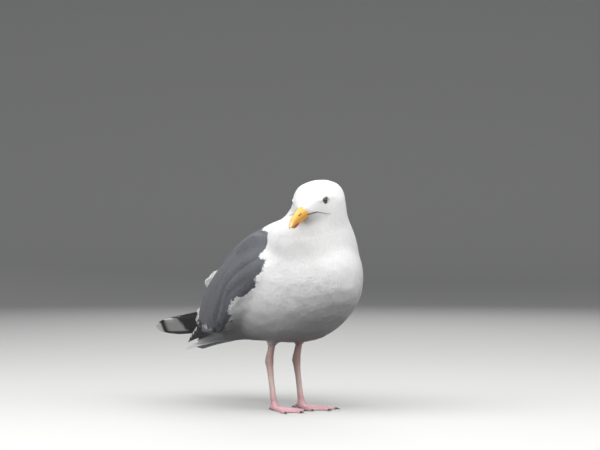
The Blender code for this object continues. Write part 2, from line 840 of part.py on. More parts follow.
def build_legs(around_body):
    for side in SIDES:
        thigh = leg_stack("thigh", side, eased(THIGH, 3), 18, "white_plumage")
        shaped_by(thigh, "DIFFERENCE", around_body, keep_tool=True)
        leg_stack("shank", side, SHANK, 12, "leg_skin")
        foot(side)


def set_origin():
    """Moves everything so that the origin lies on the floor below the middle of the whole box."""
    points = [v.co for obj in bpy.data.objects for v in obj.data.vertices]
    middle_x = (min(p.x for p in points) + max(p.x for p in points)) / 2
    middle_y = (min(p.y for p in points) + max(p.y for p in points)) / 2
    floor = min(p.z for p in points)
    for obj in bpy.data.objects:
        obj.data.transform(Matrix.Translation((-middle_x, -middle_y, -floor)))


def clear_scene():
    for obj in list(bpy.data.objects):
        bpy.data.objects.remove(obj)


def shade(obj):
    """Smooth on the round, sharp where two cuts or forms meet."""
    bm = bmesh.new()
    bm.from_mesh(obj.data)
    bmesh.ops.recalc_face_normals(bm, faces=bm.faces)
    bm.to_mesh(obj.data)
    bm.free()
    obj.data.shade_smooth()
    obj.data.set_sharp_from_angle(angle=SHARP)


def main():
    clear_scene()
    body = whole_body()
    around_body = copy_of(body, "around_body", BODY_CLEAR)
    for side in SIDES:
        wing_from(body, side)
    pieces = part_body(body)
    fit_face(pieces["head"], around_body)
    build_feather_blades(around_body, pieces["trunk"])
    build_legs(around_body)
    bpy.data.objects.remove(around_body)
    set_origin()
    for obj in bpy.data.objects:
        keep_largest(obj)
        shade(obj)


main()
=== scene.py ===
import math

import bmesh
import bpy
import numpy as np
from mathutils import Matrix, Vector, noise
from mathutils.bvhtree import BVHTree
from mathutils.kdtree import KDTree


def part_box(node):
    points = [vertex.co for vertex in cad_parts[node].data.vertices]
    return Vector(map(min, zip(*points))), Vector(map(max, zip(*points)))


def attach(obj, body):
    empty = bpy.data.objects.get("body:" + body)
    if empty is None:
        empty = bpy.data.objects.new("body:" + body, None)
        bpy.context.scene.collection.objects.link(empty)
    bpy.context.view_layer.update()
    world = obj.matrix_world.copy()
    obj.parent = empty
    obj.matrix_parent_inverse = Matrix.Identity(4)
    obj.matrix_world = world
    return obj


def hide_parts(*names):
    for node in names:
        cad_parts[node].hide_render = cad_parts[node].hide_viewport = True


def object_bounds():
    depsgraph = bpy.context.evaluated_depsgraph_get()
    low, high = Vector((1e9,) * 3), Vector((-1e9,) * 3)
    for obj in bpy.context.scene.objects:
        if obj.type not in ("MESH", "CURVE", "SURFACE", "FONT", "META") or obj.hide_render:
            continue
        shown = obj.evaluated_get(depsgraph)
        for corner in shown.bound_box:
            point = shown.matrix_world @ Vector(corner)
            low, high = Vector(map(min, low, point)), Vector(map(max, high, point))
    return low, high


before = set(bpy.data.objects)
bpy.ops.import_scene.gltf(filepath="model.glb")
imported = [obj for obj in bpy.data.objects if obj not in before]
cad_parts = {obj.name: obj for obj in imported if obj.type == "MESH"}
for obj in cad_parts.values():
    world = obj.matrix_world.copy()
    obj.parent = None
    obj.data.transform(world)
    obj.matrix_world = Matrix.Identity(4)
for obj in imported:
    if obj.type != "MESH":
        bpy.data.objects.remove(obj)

# An adult western gull at rest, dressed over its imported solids: one skin under a coat of
# separate feathers, flight feathers with shafts, a horn bill, wet eyes and scaled legs.

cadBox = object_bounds()
sides = {"left": 1, "right": -1}


# small mathematics on arrays of points

def unit(v):
    return v / np.maximum(np.linalg.norm(v, axis=-1, keepdims=True), 1e-12)


def dot(a, b):
    return (a * b).sum(-1, keepdims=True)


def sizeOf(v):
    return np.linalg.norm(v, axis=-1)


def ramp(x, low, high):  # 0 below low, 1 above high, smooth between
    t = np.clip((x - low) / (high - low), 0, 1)
    return t * t * (3 - 2 * t)


def bell(x, middle, width):  # 1 at the middle, fading to either side
    return np.exp(-(((x - middle) / width) ** 2))


def linearColour(hexColour):  # sRGB hex to the linear values that the shader wants
    channels = [int(hexColour[i : i + 2], 16) / 255 for i in (1, 3, 5)]
    return np.array([c / 12.92 if c <= 0.04045 else ((c + 0.055) / 1.055) ** 2.4 for c in channels])


def palette(hexColours):
    return {name: linearColour(value) for name, value in hexColours.items()}


def blend(low, high, share):
    return low + (high - low) * np.asarray(share)[..., None]


def lumpsAt(points, perMetre):  # smooth random heights, from about -1 to 1
    return np.array([noise.noise(Vector(p) * perMetre) for p in points.tolist()])


def eased(rows, steps):  # rows on a smooth curve through the given rows
    rows = np.array(rows, float)
    padded = np.vstack([rows[:1], rows, rows[-1:]])
    out = []
    for p, q, r, s in zip(padded, padded[1:], padded[2:], padded[3:]):
        for t in np.arange(steps) / steps:
            out.append(q + 0.5 * t * (r - p + t * (2 * p - 5 * q + 4 * r - s + t * (3 * (q - r) + s - p))))
    return np.array([*out, rows[-1]])


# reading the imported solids

def nodeMesh(name):
    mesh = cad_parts[name].data
    points = np.array([v.co for v in mesh.vertices], float)
    return points, [list(p.vertices) for p in mesh.polygons]


def boxMiddle(name):
    low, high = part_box(name)
    return np.array((low + high) / 2)


# landmarks: where the bird stands, and its head's own axes

cadLow, cadHigh = np.array(cadBox[0]), np.array(cadBox[1])
standShares = np.array([0.685, 0.5, 0.0])  # of the box, to the floor below the body's middle
standPoint = cadLow + (cadHigh - cadLow) * standShares

headLine = {"tipBelowEyes": math.radians(17.9), "rootAhead": 0.0178, "rootBelow": 0.0120}


def headAxes():
    left, right = boxMiddle("eye_left"), boxMiddle("eye_right")
    between = (left + right) / 2
    toLeft = unit(left - right)
    bill, _ = nodeMesh("bill_upper")
    tip = bill[np.argmax(sizeOf(bill - between))]
    toTip = tip - between
    toTip = unit(toTip - toTip.dot(toLeft) * toLeft)
    over = np.cross(toTip, toLeft)
    turn = headLine["tipBelowEyes"]
    ahead = math.cos(turn) * toTip + math.sin(turn) * over
    up = np.cross(ahead, toLeft)
    root = between + headLine["rootAhead"] * ahead - headLine["rootBelow"] * up
    return root, np.stack([ahead, toLeft, up])


billRoot, headTurn = headAxes()


def toHead(points):  # (ahead of the bill's feather edge, left, up)
    return (points - billRoot) @ headTurn.T


def fromHead(points):
    return billRoot + np.asarray(points, float) @ headTurn


eyeMiddle = {side: boxMiddle(f"eye_{side}") for side in sides}
eyeRadius = float((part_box("eye_left")[1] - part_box("eye_left")[0]).x) / 2


# making nodes, materials and meshes

def joinNodes(tree, node, links):  # a node given as a source means its first output
    for key, source in links.items():
        tree.links.new(getattr(source, "outputs", [source])[0], node.inputs[key])


def addNode(tree, kind, settings=None, links=None):
    node = tree.nodes.new("ShaderNode" + kind)
    for key, value in (settings or {}).items():
        if isinstance(key, int) or key in node.inputs:
            node.inputs[key].default_value = value
        else:
            setattr(node, key, value)
    joinNodes(tree, node, links or {})
    return node


def newMaterial(name, settings):
    material = bpy.data.materials.new(name)
    material.use_nodes = True
    tree = material.node_tree
    shader = tree.nodes["Principled BSDF"]
    for key, value in settings.items():
        shader.inputs[key].default_value = value
    return material, tree, shader


def shadeAndRaise(tree, shader, colour, shade, height=None, bump=None):  # darken a colour, and add relief
    shaded = addNode(tree, "VectorMath", {"operation": "SCALE"}, {"Vector": colour, "Scale": shade})
    joinNodes(tree, shader, {"Base Color": shaded})
    if bump:
        joinNodes(tree, shader, {"Normal": addNode(tree, "Bump", bump, {"Height": height})})


def addObject(name, data):
    made = bpy.data.objects.new(name, data)
    bpy.context.scene.collection.objects.link(made)
    return made


def meshPiece(name, points, faces, material):
    mesh = bpy.data.meshes.new(name)
    mesh.from_pydata(np.asarray(points).reshape(-1, 3).tolist(), [],
                     faces if isinstance(faces, list) else faces.tolist())
    mesh.materials.append(material)
    mesh.shade_smooth()
    return addObject(name, mesh)


def addTint(piece, tint):  # one linear colour to each corner point
    layer = piece.data.color_attributes.new("tint", "FLOAT_COLOR", "POINT")
    flat = np.ones((len(piece.data.vertices), 4), np.float32)
    flat[:, :3] = np.asarray(tint).reshape(-1, 3)
    layer.data.foreach_set("color", flat.ravel())


def addUv(piece, name, places):
    layer = piece.data.uv_layers.new(name=name)
    corners = np.empty(len(piece.data.loops), np.int64)
    piece.data.loops.foreach_get("vertex_index", corners)
    layer.uv.foreach_set("vector", np.asarray(places, np.float32).reshape(-1, 2)[corners].ravel())


def gridFaces(count, rows, columns):  # quads of `count` equal grids, one after the other
    first = (np.arange(rows - 1)[:, None] * columns + np.arange(columns - 1)).ravel()
    quad = np.stack([first, first + 1, first + columns + 1, first + columns], 1)
    return (np.arange(count)[:, None, None] * rows * columns + quad).reshape(-1, 4)


def dress(piece, slotName, *nodes):
    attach(piece, "root")
    if nodes:
        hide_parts(*nodes)


# plumage colours, shared by skin and coat

plumage = {
    "white": "#ECECEE",
    "grey": "#5E5F66",
    "greyPale": "#74757C",
    "black": "#211D20",
    "eyeShadeGrey": "#B9B6B4",
    "tongueGrey": "#B4B4B4",
    "greyNodes": ["mantle", "wing_left", "wing_right"],
    "fleshNodes": ["head", "neck", "trunk", "mantle", "wing_left", "wing_right", "thigh_left", "thigh_right"],
}
white, grey, greyPale, black, eyeShadeGrey, tongueGrey = (
    linearColour(plumage[key]) for key in ("white", "grey", "greyPale", "black", "eyeShadeGrey", "tongueGrey"))
# painted shade: a grey line before and behind the eye, blended over the plumage's colour
eyeShadeLine = {"up": -0.0005, "thick": 0.0020, "before": (0.0085, 0.0035), "behind": (-0.0100, 0.0040),
           "strength": 0.55, "behindStrength": 0.7}  # places from the eye in metres, with widths


def markings(points, greyness):  # the colour of the plumage at each point
    colour = blend(white, grey, greyness)
    ahead, _, up = toHead(points).T
    line = bell(up, headLine["rootBelow"] + eyeShadeLine["up"], eyeShadeLine["thick"])
    before, behind = (bell(ahead, -headLine["rootAhead"] + eyeShadeLine[key][0], eyeShadeLine[key][1])
                      for key in ("before", "behind"))
    # painted shade, in a line before and behind the eye
    share = (eyeShadeLine["strength"] * line * np.maximum(before, eyeShadeLine["behindStrength"] * behind))[:, None]
    return colour * (1 - share) + eyeShadeGrey * share


# the body's form: the flesh nodes fused into one smooth closed surface

formSettings = {"grain": 0.0022, "fuseGap": 0.00035, "softening": 22}


def fusedForm(nodes, grain, fuseGap, softening):
    joined = bmesh.new()
    for name in nodes:
        points, faces = nodeMesh(name)
        one = bmesh.new()
        corners = [one.verts.new(p) for p in points]
        for face in faces:
            one.faces.new([corners[i] for i in face])
        bmesh.ops.remove_doubles(one, verts=one.verts, dist=0.00001)
        one.normal_update()
        moves = [v.normal * fuseGap for v in one.verts]
        for corner, move in zip(one.verts, moves):
            corner.co += move
        part = bpy.data.meshes.new("part")
        one.to_mesh(part)
        one.free()
        joined.from_mesh(part)
        bpy.data.meshes.remove(part)
    mesh = bpy.data.meshes.new("form")
    joined.to_mesh(mesh)
    joined.free()
    form = addObject("form", mesh)
    fuse = form.modifiers.new("fuse", "REMESH")
    fuse.mode = "VOXEL"
    fuse.voxel_size = grain
    soften = form.modifiers.new("soften", "SMOOTH")
    soften.factor = 0.5
    soften.iterations = softening
    made = form.evaluated_get(bpy.context.evaluated_depsgraph_get()).to_mesh()
    points = np.empty(len(made.vertices) * 3)
    made.vertices.foreach_get("co", points)
    quads = np.array([p.vertices for p in made.polygons if len(p.vertices) == 4])
    bpy.data.objects.remove(form)
    points = points.reshape(-1, 3)
    return points, surfaceNormals(points, quads), quads


def summed(index, values, count):  # the sum of the rows of values that share an index
    return np.stack([np.bincount(index, column, count) for column in values.T], 1)


def surfaceNormals(points, quads):
    a, b, c, d = (points[quads[:, i]] for i in range(4))
    face = np.repeat(np.cross(c - a, d - b), 4, axis=0)
    return unit(summed(quads.ravel(), face, len(points)))


def evened(values, quads, rounds):  # values on a form's points, mixed with their neighbours'
    out = values.astype(float).reshape(len(values), -1)
    ends = np.concatenate([quads[:, [i, (i + 1) % 4]] for i in range(4)])
    a, b = np.concatenate([ends, ends[:, ::-1]]).T
    degree = np.bincount(a, minlength=len(out))[:, None]
    for _ in range(rounds):
        out = (out + summed(a, out[b], len(out)) / degree) / 2
    return out.reshape(values.shape)


formNodes = plumage["fleshNodes"] + ["eye_left", "eye_right"]
bodyPoints, bodyNormals, bodyQuads = fusedForm(formNodes, **formSettings)
print("form:", len(bodyQuads), "faces")


def nearestNode(points, nodes):  # which of the nodes each point lies on
    best = np.full(len(points), 1.0)
    found = np.zeros(len(points), int)
    margin = 0.008
    for i, name in enumerate(nodes):
        low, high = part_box(name)
        near = ((points > np.array(low) - margin) & (points < np.array(high) + margin)).all(1)
        tree = BVHTree.FromPolygons(*[list(map(list, part)) for part in nodeMesh(name)])
        for k in np.nonzero(near)[0]:
            distance = tree.find_nearest(points[k].tolist())[3]
            if distance < best[k]:
                best[k] = distance
                found[k] = i
    return found


bodyPart = nearestNode(bodyPoints, plumage["fleshNodes"])
partIs = {name: bodyPart == i for i, name in enumerate(plumage["fleshNodes"])}
print("parts labelled")


# the grey back: its border on the white, and the folds between its lobes of feathers

backShape = {
    "neckEdge": 0.039,  # how far ahead the grey reaches beside the neck
    "neckFoot": 0.214,  # the height at which the neck starts
    "neckEdgeTurns": (0.222, 0.032, 0.051),  # above this height the border draws back, over and by so much
    "napeEdge": -0.012,  # and where it crosses the back
    "crease": [(-0.060, 0.118), (-0.040, 0.147), (-0.026, 0.175), (-0.013, 0.187), (0.005, 0.198),
               (0.026, 0.209), (0.041, 0.218)],  # (x, z), between shoulder feathers and coverts
    "notch": (0.0345, 0.0015, 0.0040),  # white, where the crease starts: x, height above it, half width
    "wingFront": (0.047, 0.152, 0.62, 0.05),  # x, then the height and slope of its lower border, and |y|
    "flankPuffs": [(0.051, 0.181, 0.0150, 0.0140), (0.010, 0.128, 0.030, 0.032)],  # x, z and both radii
}
whiteRims = {  # white tips along the folded wing's rims, with the axes that run along them and inward
    "hind": {"along": 2, "inward": 0, "from": 0.108, "to": 0.236, "wide": 0.0250, "ends": (0.178, 0.190)},
    "lower": {"along": 0, "inward": 2, "from": -0.172, "to": 0.0, "wide": 0.0030, "ends": (-0.075, -0.060)},
}


def creaseDistance(x, z):  # how far a point stands above the crease
    line = eased(backShape["crease"], 4)
    slope = np.interp(x, line[:, 0], np.gradient(line[:, 1], line[:, 0]))
    return (z - np.interp(x, line[:, 0], line[:, 1])) / np.hypot(1, slope)


def greyArea():
    x, y, z = (bodyPoints - standPoint).T
    above = creaseDistance(x, z)
    isGrey = np.any([partIs[name] for name in plumage["greyNodes"]], axis=0)
    front, low, slope, out = backShape["wingFront"]
    isGrey |= (above < 0) & (x > 0) & (x < front) & (z > low + slope * x) & (np.abs(y) > out)
    start, over, by = backShape["neckEdgeTurns"]
    drawnBack = np.clip((z - start) / over, 0, 2) ** 4
    edge = np.maximum(backShape["neckEdge"] - by * drawnBack, backShape["napeEdge"])
    isGrey = np.where(z > backShape["neckFoot"], x < edge, isGrey)
    start, middle, half = backShape["notch"]
    isGrey &= ~((x > start) & (np.abs(above - middle) < half))
    for px, pz, rx, rz in backShape["flankPuffs"]:
        isGrey &= ((x - px) / rx) ** 2 + ((z - pz) / rz) ** 2 > 1
    return isGrey.astype(float)


def whiteEdge():  # the white tips along the hind and lower rims of the folded wings
    here = bodyPoints - standPoint
    share = np.zeros(len(here))
    step, soft = 0.008, 0.001
    for side, it in [(side, it) for side in sides for it in whiteRims.values()]:
        wing = nodeMesh(f"wing_{side}")[0] - standPoint
        stations = np.arange(it["from"], it["to"], step)
        rim = [wing[np.abs(wing[:, it["along"]] - s) < step, it["inward"]].min() for s in stations]
        fromRim = here[:, it["inward"]] - np.interp(here[:, it["along"]], stations, rim)
        tips = 1 - ramp(fromRim, it["wide"] - soft, it["wide"] + soft)
        tips *= 1 - ramp(here[:, it["along"]], *it["ends"])
        share = np.maximum(share, tips * partIs[f"wing_{side}"])
    return share


bodyGrey = evened(greyArea(), bodyQuads, 6) * (1 - whiteEdge())

relief = {
    "lip": (0.0012, 0.0070, 0.0050),  # of the crease: height in metres, and its middle and width above it
    "groove": (0.0022, -0.0012, 0.0040),
    "side": ((0.040, 0.058), (-0.110, -0.060), (0.034, 0.046)),  # fades in over |y| and x, and out over x
    "folds": (0.0009, 0.0200, 0.004, 0.10),  # height, spacing, shift and slant
    "foldsBelow": (1.0, (0.004, 0.012), (0.040, 0.055), (0.010, 0.034)),  # strength, and where they fade
    "foldsAbove": (0.6, (0.012, 0.022), (0.030, 0.045), (-0.040, 0.000)),
    "border": ((0.030, 0.050), (-0.060, -0.020)),
    "flankRaised": (0.0003, 0.25, 0.15),  # height, and the greyness at which it lies
    "edgeSunk": (0.0010, 0.68, 0.20),
    "lumps": (0.00035, 75.0, 160.0, 0.6),  # height, coarse and fine lumps per metre, strength of the fine
    "calmFace": (0.05, 0.10),
}


def ridge(values, height, middle, width):
    return height * bell(values, middle, width)


def foldBand(distance, x, strength, starts, ends, aheadEnds):
    return strength * ramp(distance, *starts) * (1 - ramp(distance, *ends)) * (1 - ramp(x, *aheadEnds))


def reliefOf(grey):  # how far the plumage swells or sinks at each point of the form
    x, y, z = (bodyPoints - standPoint).T
    above = creaseDistance(x, z)
    outward, hind, ahead = relief["side"]
    move = (ridge(above, *relief["lip"]) - ridge(above, *relief["groove"])) * (1 - ramp(x, *ahead))
    high, spacing, shift, slant = relief["folds"]
    turn = 2 * math.pi * (above - shift + slant * x) / spacing
    bands = foldBand(-above, x, *relief["foldsBelow"]) + foldBand(above, x, *relief["foldsAbove"])
    move += high * np.sin(turn) * bands
    move *= ramp(np.abs(y), *outward) * ramp(x, *hind)
    wide = evened(grey, bodyQuads, 10)
    outward, hind = relief["border"]
    border = ramp(np.abs(y), *outward) * ramp(x, *hind)
    move += border * (ridge(wide, *relief["flankRaised"]) - ridge(wide, *relief["edgeSunk"]))
    high, coarse, fine, strength = relief["lumps"]
    lumps = lumpsAt(bodyPoints, coarse) + strength * lumpsAt(bodyPoints, fine)
    calm = ramp(sizeOf(bodyPoints - billRoot), *relief["calmFace"])
    return evened(move, bodyQuads, 4) + high * lumps * calm


bodyPoints = bodyPoints + bodyNormals * reliefOf(bodyGrey)[:, None]
bodyNormals = surfaceNormals(bodyPoints, bodyQuads)
layNormals = unit(evened(bodyNormals, bodyQuads, 3))  # the feathers follow an even surface
bodyTree = BVHTree.FromPolygons(bodyPoints.tolist(), bodyQuads.tolist())
print("relief done")


eyeTilt = {"ahead": 0.24, "up": -0.02}  # the eyes look a little forward
eyeOutward = {side: unit(headTurn[1] * sign + eyeTilt["ahead"] * headTurn[0] + eyeTilt["up"] * headTurn[2])
              for side, sign in sides.items()}


def eyeDistance(points):  # how far each point lies from the nearer eye's axis
    out = []
    for side in sides:
        to = points - eyeMiddle[side]
        aside = sizeOf(to - dot(to, eyeOutward[side]) * eyeOutward[side])
        out.append(aside + 0.5 * np.abs(sizeOf(to) - eyeRadius))
    return np.minimum(*out)


coatDepth = {"head": 0.0012, "neck": 0.0020, "trunk": 0.0024, "mantle": 0.0024,
             "wing_left": 0.0018, "wing_right": 0.0018, "thigh_left": 0.0012, "thigh_right": 0.0012}
thinAt = {"bill": (0.0004, 0.05, 0.008), "eye": (0.0005, 0.10, 0.004)}  # least depth, slope, and from where


def depthAt(points, parts):
    depth = np.array([coatDepth[name] for name in plumage["fleshNodes"]])[parts]
    distances = {"bill": sizeOf(points - billRoot), "eye": eyeDistance(points)}
    for place, (least, slope, start) in thinAt.items():
        depth = np.minimum(depth, least + slope * np.maximum(distances[place] - start, 0))
    return depth


# the way the feathers lie, as a direction along the surface

flow = {
    "back": (-1.0, 0.0, -0.45), "breast": (-0.18, 0.0, -1.0), "wing": (-1.0, 0.0, -0.75),
    "thigh": (-0.25, 0.0, -1.0),
    "toBreast": ((0.035, 0.105), (0.10, 0.15)),  # over x and height
    "toHead": ((-0.01, 0.04), (0.225, 0.275)),
    "faceStart": 0.006,  # the head's feathers part from here, ahead of the bill's root
    "roundEye": (0.006, 0.011), "turned": 1.15,
}


def flowAt(points, normals, parts):
    here = points - standPoint
    breastShare, headShare = (ramp(here[:, :1], *flow[key][0]) * ramp(here[:, 2:], *flow[key][1])
                              for key in ("toBreast", "toHead"))
    body = unit(np.array(flow["back"]) * (1 - breastShare) + np.array(flow["breast"]) * breastShare)
    for kind in ("wing", "thigh"):
        on = np.isin(parts, [i for i, name in enumerate(plumage["fleshNodes"]) if kind in name])
        body = np.where(on[:, None], unit(np.array(flow[kind])), body)
    head = unit(points - billRoot - flow["faceStart"] * headTurn[0])
    ways = head * headShare + body * (1 - headShare)
    for side in sides:  # round the eyes, not across them
        out = points - eyeMiddle[side]
        out = out - dot(out, eyeOutward[side]) * eyeOutward[side]
        far = np.linalg.norm(out, axis=1, keepdims=True)
        out = unit(out)
        inward = np.minimum(dot(ways, out), 0)
        ways = ways - out * inward * (1 - ramp(far, *flow["roundEye"])) * flow["turned"]
    return unit(ways - dot(ways, normals) * normals)


def onForm(points):  # the nearest points of the body's form: places, normals, parts, greyness
    found = [bodyTree.find_nearest(p) for p in points.tolist()]
    places = np.array([f[0] for f in found])
    quads = bodyQuads[[f[2] for f in found]]
    weights = 1 / (np.linalg.norm(bodyPoints[quads] - places[:, None], axis=2) + 1e-5)
    weights /= weights.sum(1, keepdims=True)
    normals = unit((layNormals[quads] * weights[..., None]).sum(1))
    return places, normals, bodyPart[quads[:, 0]], (bodyGrey[quads] * weights).sum(1)


def scatter(rng, chosen, sizes):  # evenly spaced roots over the chosen points of the body
    quads = bodyQuads[chosen[bodyQuads[:, 0]]]
    a, b, c, d = (bodyPoints[quads[:, i]] for i in range(4))
    area = sizeOf(np.cross(c - a, d - b)) / 2
    spacing = sizes((a + c) / 2)[0]
    chance = area / spacing**2
    count = int(chance.sum() * 4.5)
    pick = rng.choice(len(quads), count, p=chance / chance.sum())
    s, t = rng.random((2, count, 1))
    points = (a[pick] * (1 - s) + b[pick] * s) * (1 - t) + (d[pick] * (1 - s) + c[pick] * s) * t
    spacing = spacing[pick]
    tree = KDTree(count)
    for i, p in enumerate(points.tolist()):
        tree.insert(p, i)
    tree.balance()
    free = np.ones(count, bool)
    for i, p in enumerate(points.tolist()):
        if free[i]:
            for _, k, _ in tree.find_range(p, spacing[i]):
                if k > i:
                    free[k] = False
    return points[free]


# contour feathers: thin cupped vanes that rise from the skin and lie along the form

vaneShape = {
    "rise": 0.42,  # the share of its length in which a feather comes up out of the coat
    "camber": 0.16, "tilt": 0.075, "sweptBack": 0.16, "tipLift": 0.25,
    "widening": (0.32, 0.45), "rounding": (0.60, 0.72),  # at the root up to, and at the tip from
    "lengths": (0.88, 1.12), "widths": (0.90, 1.10), "swing": 0.07,  # how they vary
    "atEye": (0.0016, 0.35, 0.004),  # least length, slope, and from where
    "letGo": (0.35, 0.9),  # where the form bends away under it, a feather goes straight on
    "softNormal": 0.72,
    "tones": (0.96, 1.03), "greyUneven": 0.05, "paleEdge": 0.35,
}
patch = 0.003  # side of one feather's patch on the coat's own map


def vaneWidth(s):  # half width along a contour feather, from root to rounded tip
    (least, full), (start, by) = vaneShape["widening"], vaneShape["rounding"]
    body = least + (1 - least) * ramp(s, 0.0, full)
    return body * np.sqrt(1 - by * np.clip((s - start) / (1 - start), 0, 1) ** 2)


def unwrapRound(points):  # an unwrap round the part's own long axis
    middle = points.mean(0)
    axes = np.linalg.svd(points - middle, full_matrices=False)[2]
    local = (points - middle) @ axes.T
    u = np.arctan2(local[:, 2], local[:, 1]) / (2 * math.pi) + 0.5
    v = (local[:, 0] - local[:, 0].min()) / np.ptp(local[:, 0])
    return np.stack([u, v], 1) * (1 - 2 * patch) + patch


def layFeathers(name, rng, roots, sizes, rows, columns, material, whiteFrom=None, way=None, lifted=0.0):
    places, normals, parts, greyness = onForm(roots)
    along = flowAt(places, normals, parts) if way is None else unit(way - dot(way, normals) * normals)
    count = len(places)
    _, length, halfWidth = sizes(places)
    length = length * rng.uniform(*vaneShape["lengths"], count)
    halfWidth = halfWidth * rng.uniform(*vaneShape["widths"], count)
    swing = rng.normal(0, vaneShape["swing"], (count, 1))
    along = unit(along * np.cos(swing) + np.cross(normals, along) * np.sin(swing))
    least, slope, start = vaneShape["atEye"]
    length = np.minimum(length, least + slope * np.maximum(eyeDistance(places) - start, 0))
    depth = depthAt(places, parts)[:, None]
    shares = np.linspace(0, 1, rows)
    centre, normalRow, flowRow, greyRow = [places], [normals], [along], [greyness]
    for k in range(1, rows):
        step = (length * (shares[k] - shares[k - 1]))[:, None]
        ahead = centre[-1] + flowRow[-1] * step
        p, n, _, g = onForm(ahead)
        off = ramp(np.linalg.norm(p - ahead, axis=1, keepdims=True) / step, *vaneShape["letGo"])
        n = unit(n * (1 - off) + normalRow[-1] * off)
        centre.append(p * (1 - off) + ahead * off)
        normalRow.append(n)
        greyRow.append(g)
        flowRow.append(unit(flowRow[-1] - dot(flowRow[-1], n) * n))
    centre, normalRow, flowRow = (np.stack(x, 1) for x in (centre, normalRow, flowRow))
    rise = vaneShape["rise"]
    tuck = np.minimum(vaneShape["tilt"] * length[:, None] * (1 - rise), 0.8 * depth)
    s = shares[None, :]
    low = -depth + (depth - tuck) * ramp(s, 0, rise)
    lift = np.where(s < rise, low, -tuck * (1 - s) / (1 - rise))
    lift = lift + (rng.uniform(-vaneShape["tipLift"], vaneShape["tipLift"], (count, 1)) * tuck + lifted) * s
    across = np.linspace(-1, 1, columns)[None, None, :, None]
    side = np.cross(flowRow, normalRow)[:, :, None]
    wide = (halfWidth[:, None] * vaneWidth(s))[:, :, None, None]
    back = vaneShape["sweptBack"] * length[:, None, None, None] * across**2 * (s**3)[:, :, None, None]
    sag = vaneShape["camber"] * wide * across**2
    grid = (centre[:, :, None] + side * wide * across - flowRow[:, :, None] * back
            + normalRow[:, :, None] * (lift[:, :, None, None] - sag))
    piece = meshPiece(name, grid, gridFaces(count, rows, columns), material)
    softenNormals(piece, np.broadcast_to(normalRow[:, :, None], grid.shape).reshape(-1, 3))
    uneven = rng.normal(0, vaneShape["greyUneven"], (count, 1))
    greyness = ramp(np.stack(greyRow, 1) * 0.8 + greyness[:, None] * 0.2 + uneven, 0.44, 0.56)
    tint = markings(centre.reshape(-1, 3), greyness.ravel()).reshape(count, rows, 1, 3)
    tint = tint * rng.uniform(*vaneShape["tones"], (count, 1, 1, 1))
    across, s = np.broadcast_arrays(across[..., 0], s[:, :, None] * np.ones((count, 1, 1)))
    edge = np.clip(np.abs(across) ** 3 * 0.5 + ramp(s, 0.75, 1.0) * 0.6, 0, 1) * vaneShape["paleEdge"]
    tint = blend(tint, blend(tint, greyPale, greyness[:, :, None]), edge)
    if whiteFrom:  # where along each feather its broad white tip starts
        start = whiteFrom + 0.10 * across**2
        tint = blend(tint, white, ramp(s, start - 0.04, start + 0.04))
    addTint(piece, tint)
    local = np.stack([across * 0.5, s - 0.5], -1) * patch
    addUv(piece, "OFBake", unwrapRound(places)[:, None, None] + local)
    inMillimetres = np.stack([across * halfWidth[:, None, None], s * length[:, None, None]], -1) * 1000
    addUv(piece, "vane", inMillimetres)
    return piece


def softenNormals(piece, spread):  # shade the vanes partly as the form under them
    own = np.empty(len(piece.data.vertices) * 3)
    piece.data.vertices.foreach_get("normal", own)
    soft = vaneShape["softNormal"]
    mixed = unit(spread * soft + own.reshape(-1, 3) * (1 - soft))
    piece.data.normals_split_custom_set_from_vertices(mixed.tolist())


# feather vanes: matte keratin in fine slanting barbs, which the eye reads as a soft velvet

barbs = {"spacing": 0.9, "slant": 0.8,  # millimetres, drawn coarser than the real 0.3 to show
         "darkest": 0.95, "deep": 0.0002, "downPerMetre": 900.0}


def vaneMaterial(name, roughness, sheen, bump):
    material, tree, shader = newMaterial(name, {"Roughness": roughness, "IOR": 1.54, "Sheen Weight": sheen,
                                                "Sheen Roughness": 0.45, "Specular IOR Level": 0.3})
    tint = addNode(tree, "Attribute", {"attribute_name": "tint"})
    vane = addNode(tree, "UVMap", {"uv_map": "vane"})
    parts = addNode(tree, "SeparateXYZ", links={"Vector": vane})
    out = addNode(tree, "Math", {"operation": "ABSOLUTE"}, {0: parts.outputs["X"]})
    slope = addNode(tree, "Math", {"operation": "MULTIPLY_ADD", 1: -barbs["slant"]},
                    {0: out, 2: parts.outputs["Y"]})
    phase = addNode(tree, "Math", {"operation": "MULTIPLY", 1: 2 * math.pi / barbs["spacing"]}, {0: slope})
    wave = addNode(tree, "Math", {"operation": "SINE"}, {0: phase})
    place = addNode(tree, "TexCoord").outputs["Object"]
    down = addNode(tree, "TexNoise", {"Scale": barbs["downPerMetre"], "Detail": 2.0}, {"Vector": place})
    both = addNode(tree, "Math", {"operation": "MULTIPLY_ADD", 1: 0.5}, {0: wave, 2: down})
    shade = addNode(tree, "MapRange", {"From Min": -1.0, "To Min": barbs["darkest"]}, {"Value": wave})
    shadeAndRaise(tree, shader, tint, shade, both, {"Strength": bump, "Distance": barbs["deep"]})
    return material


whiteVane = vaneMaterial("whiteContourFeather", 0.80, 0.15, 0.25)
greyVane = vaneMaterial("greyContourFeather", 0.72, 0.10, 0.35)
flightVane = vaneMaterial("flightFeatherKeratin", 0.55, 0.0, 0.6)


# feathers that grow along the body: their least spacing and how much more, over which distances, with
# the length (a share of the spacing, and metres more) and the half width (a share of it)
faceFeathers = {"spacing": (0.00075, 0.00065), "over": (0.008, 0.060), "length": (3.4, 0.0005), "width": 1.15}
backFeathers = {"spacing": (0.0026, 0.0016), "over": (0.03, -0.14), "length": (5.2, 0.0), "width": 1.75}


def fixedSizes(*sizes):  # spacing, length and half width, the same everywhere
    def at(points):
        return [np.full(len(points), size) for size in sizes]
    return at


def growingSizes(it, distanceOf):
    def at(points):
        spacing = it["spacing"][0] + it["spacing"][1] * ramp(distanceOf(points), *it["over"])
        return spacing, spacing * it["length"][0] + it["length"][1], spacing * it["width"]
    return at


def fromBill(points):
    return sizeOf(points - billRoot)


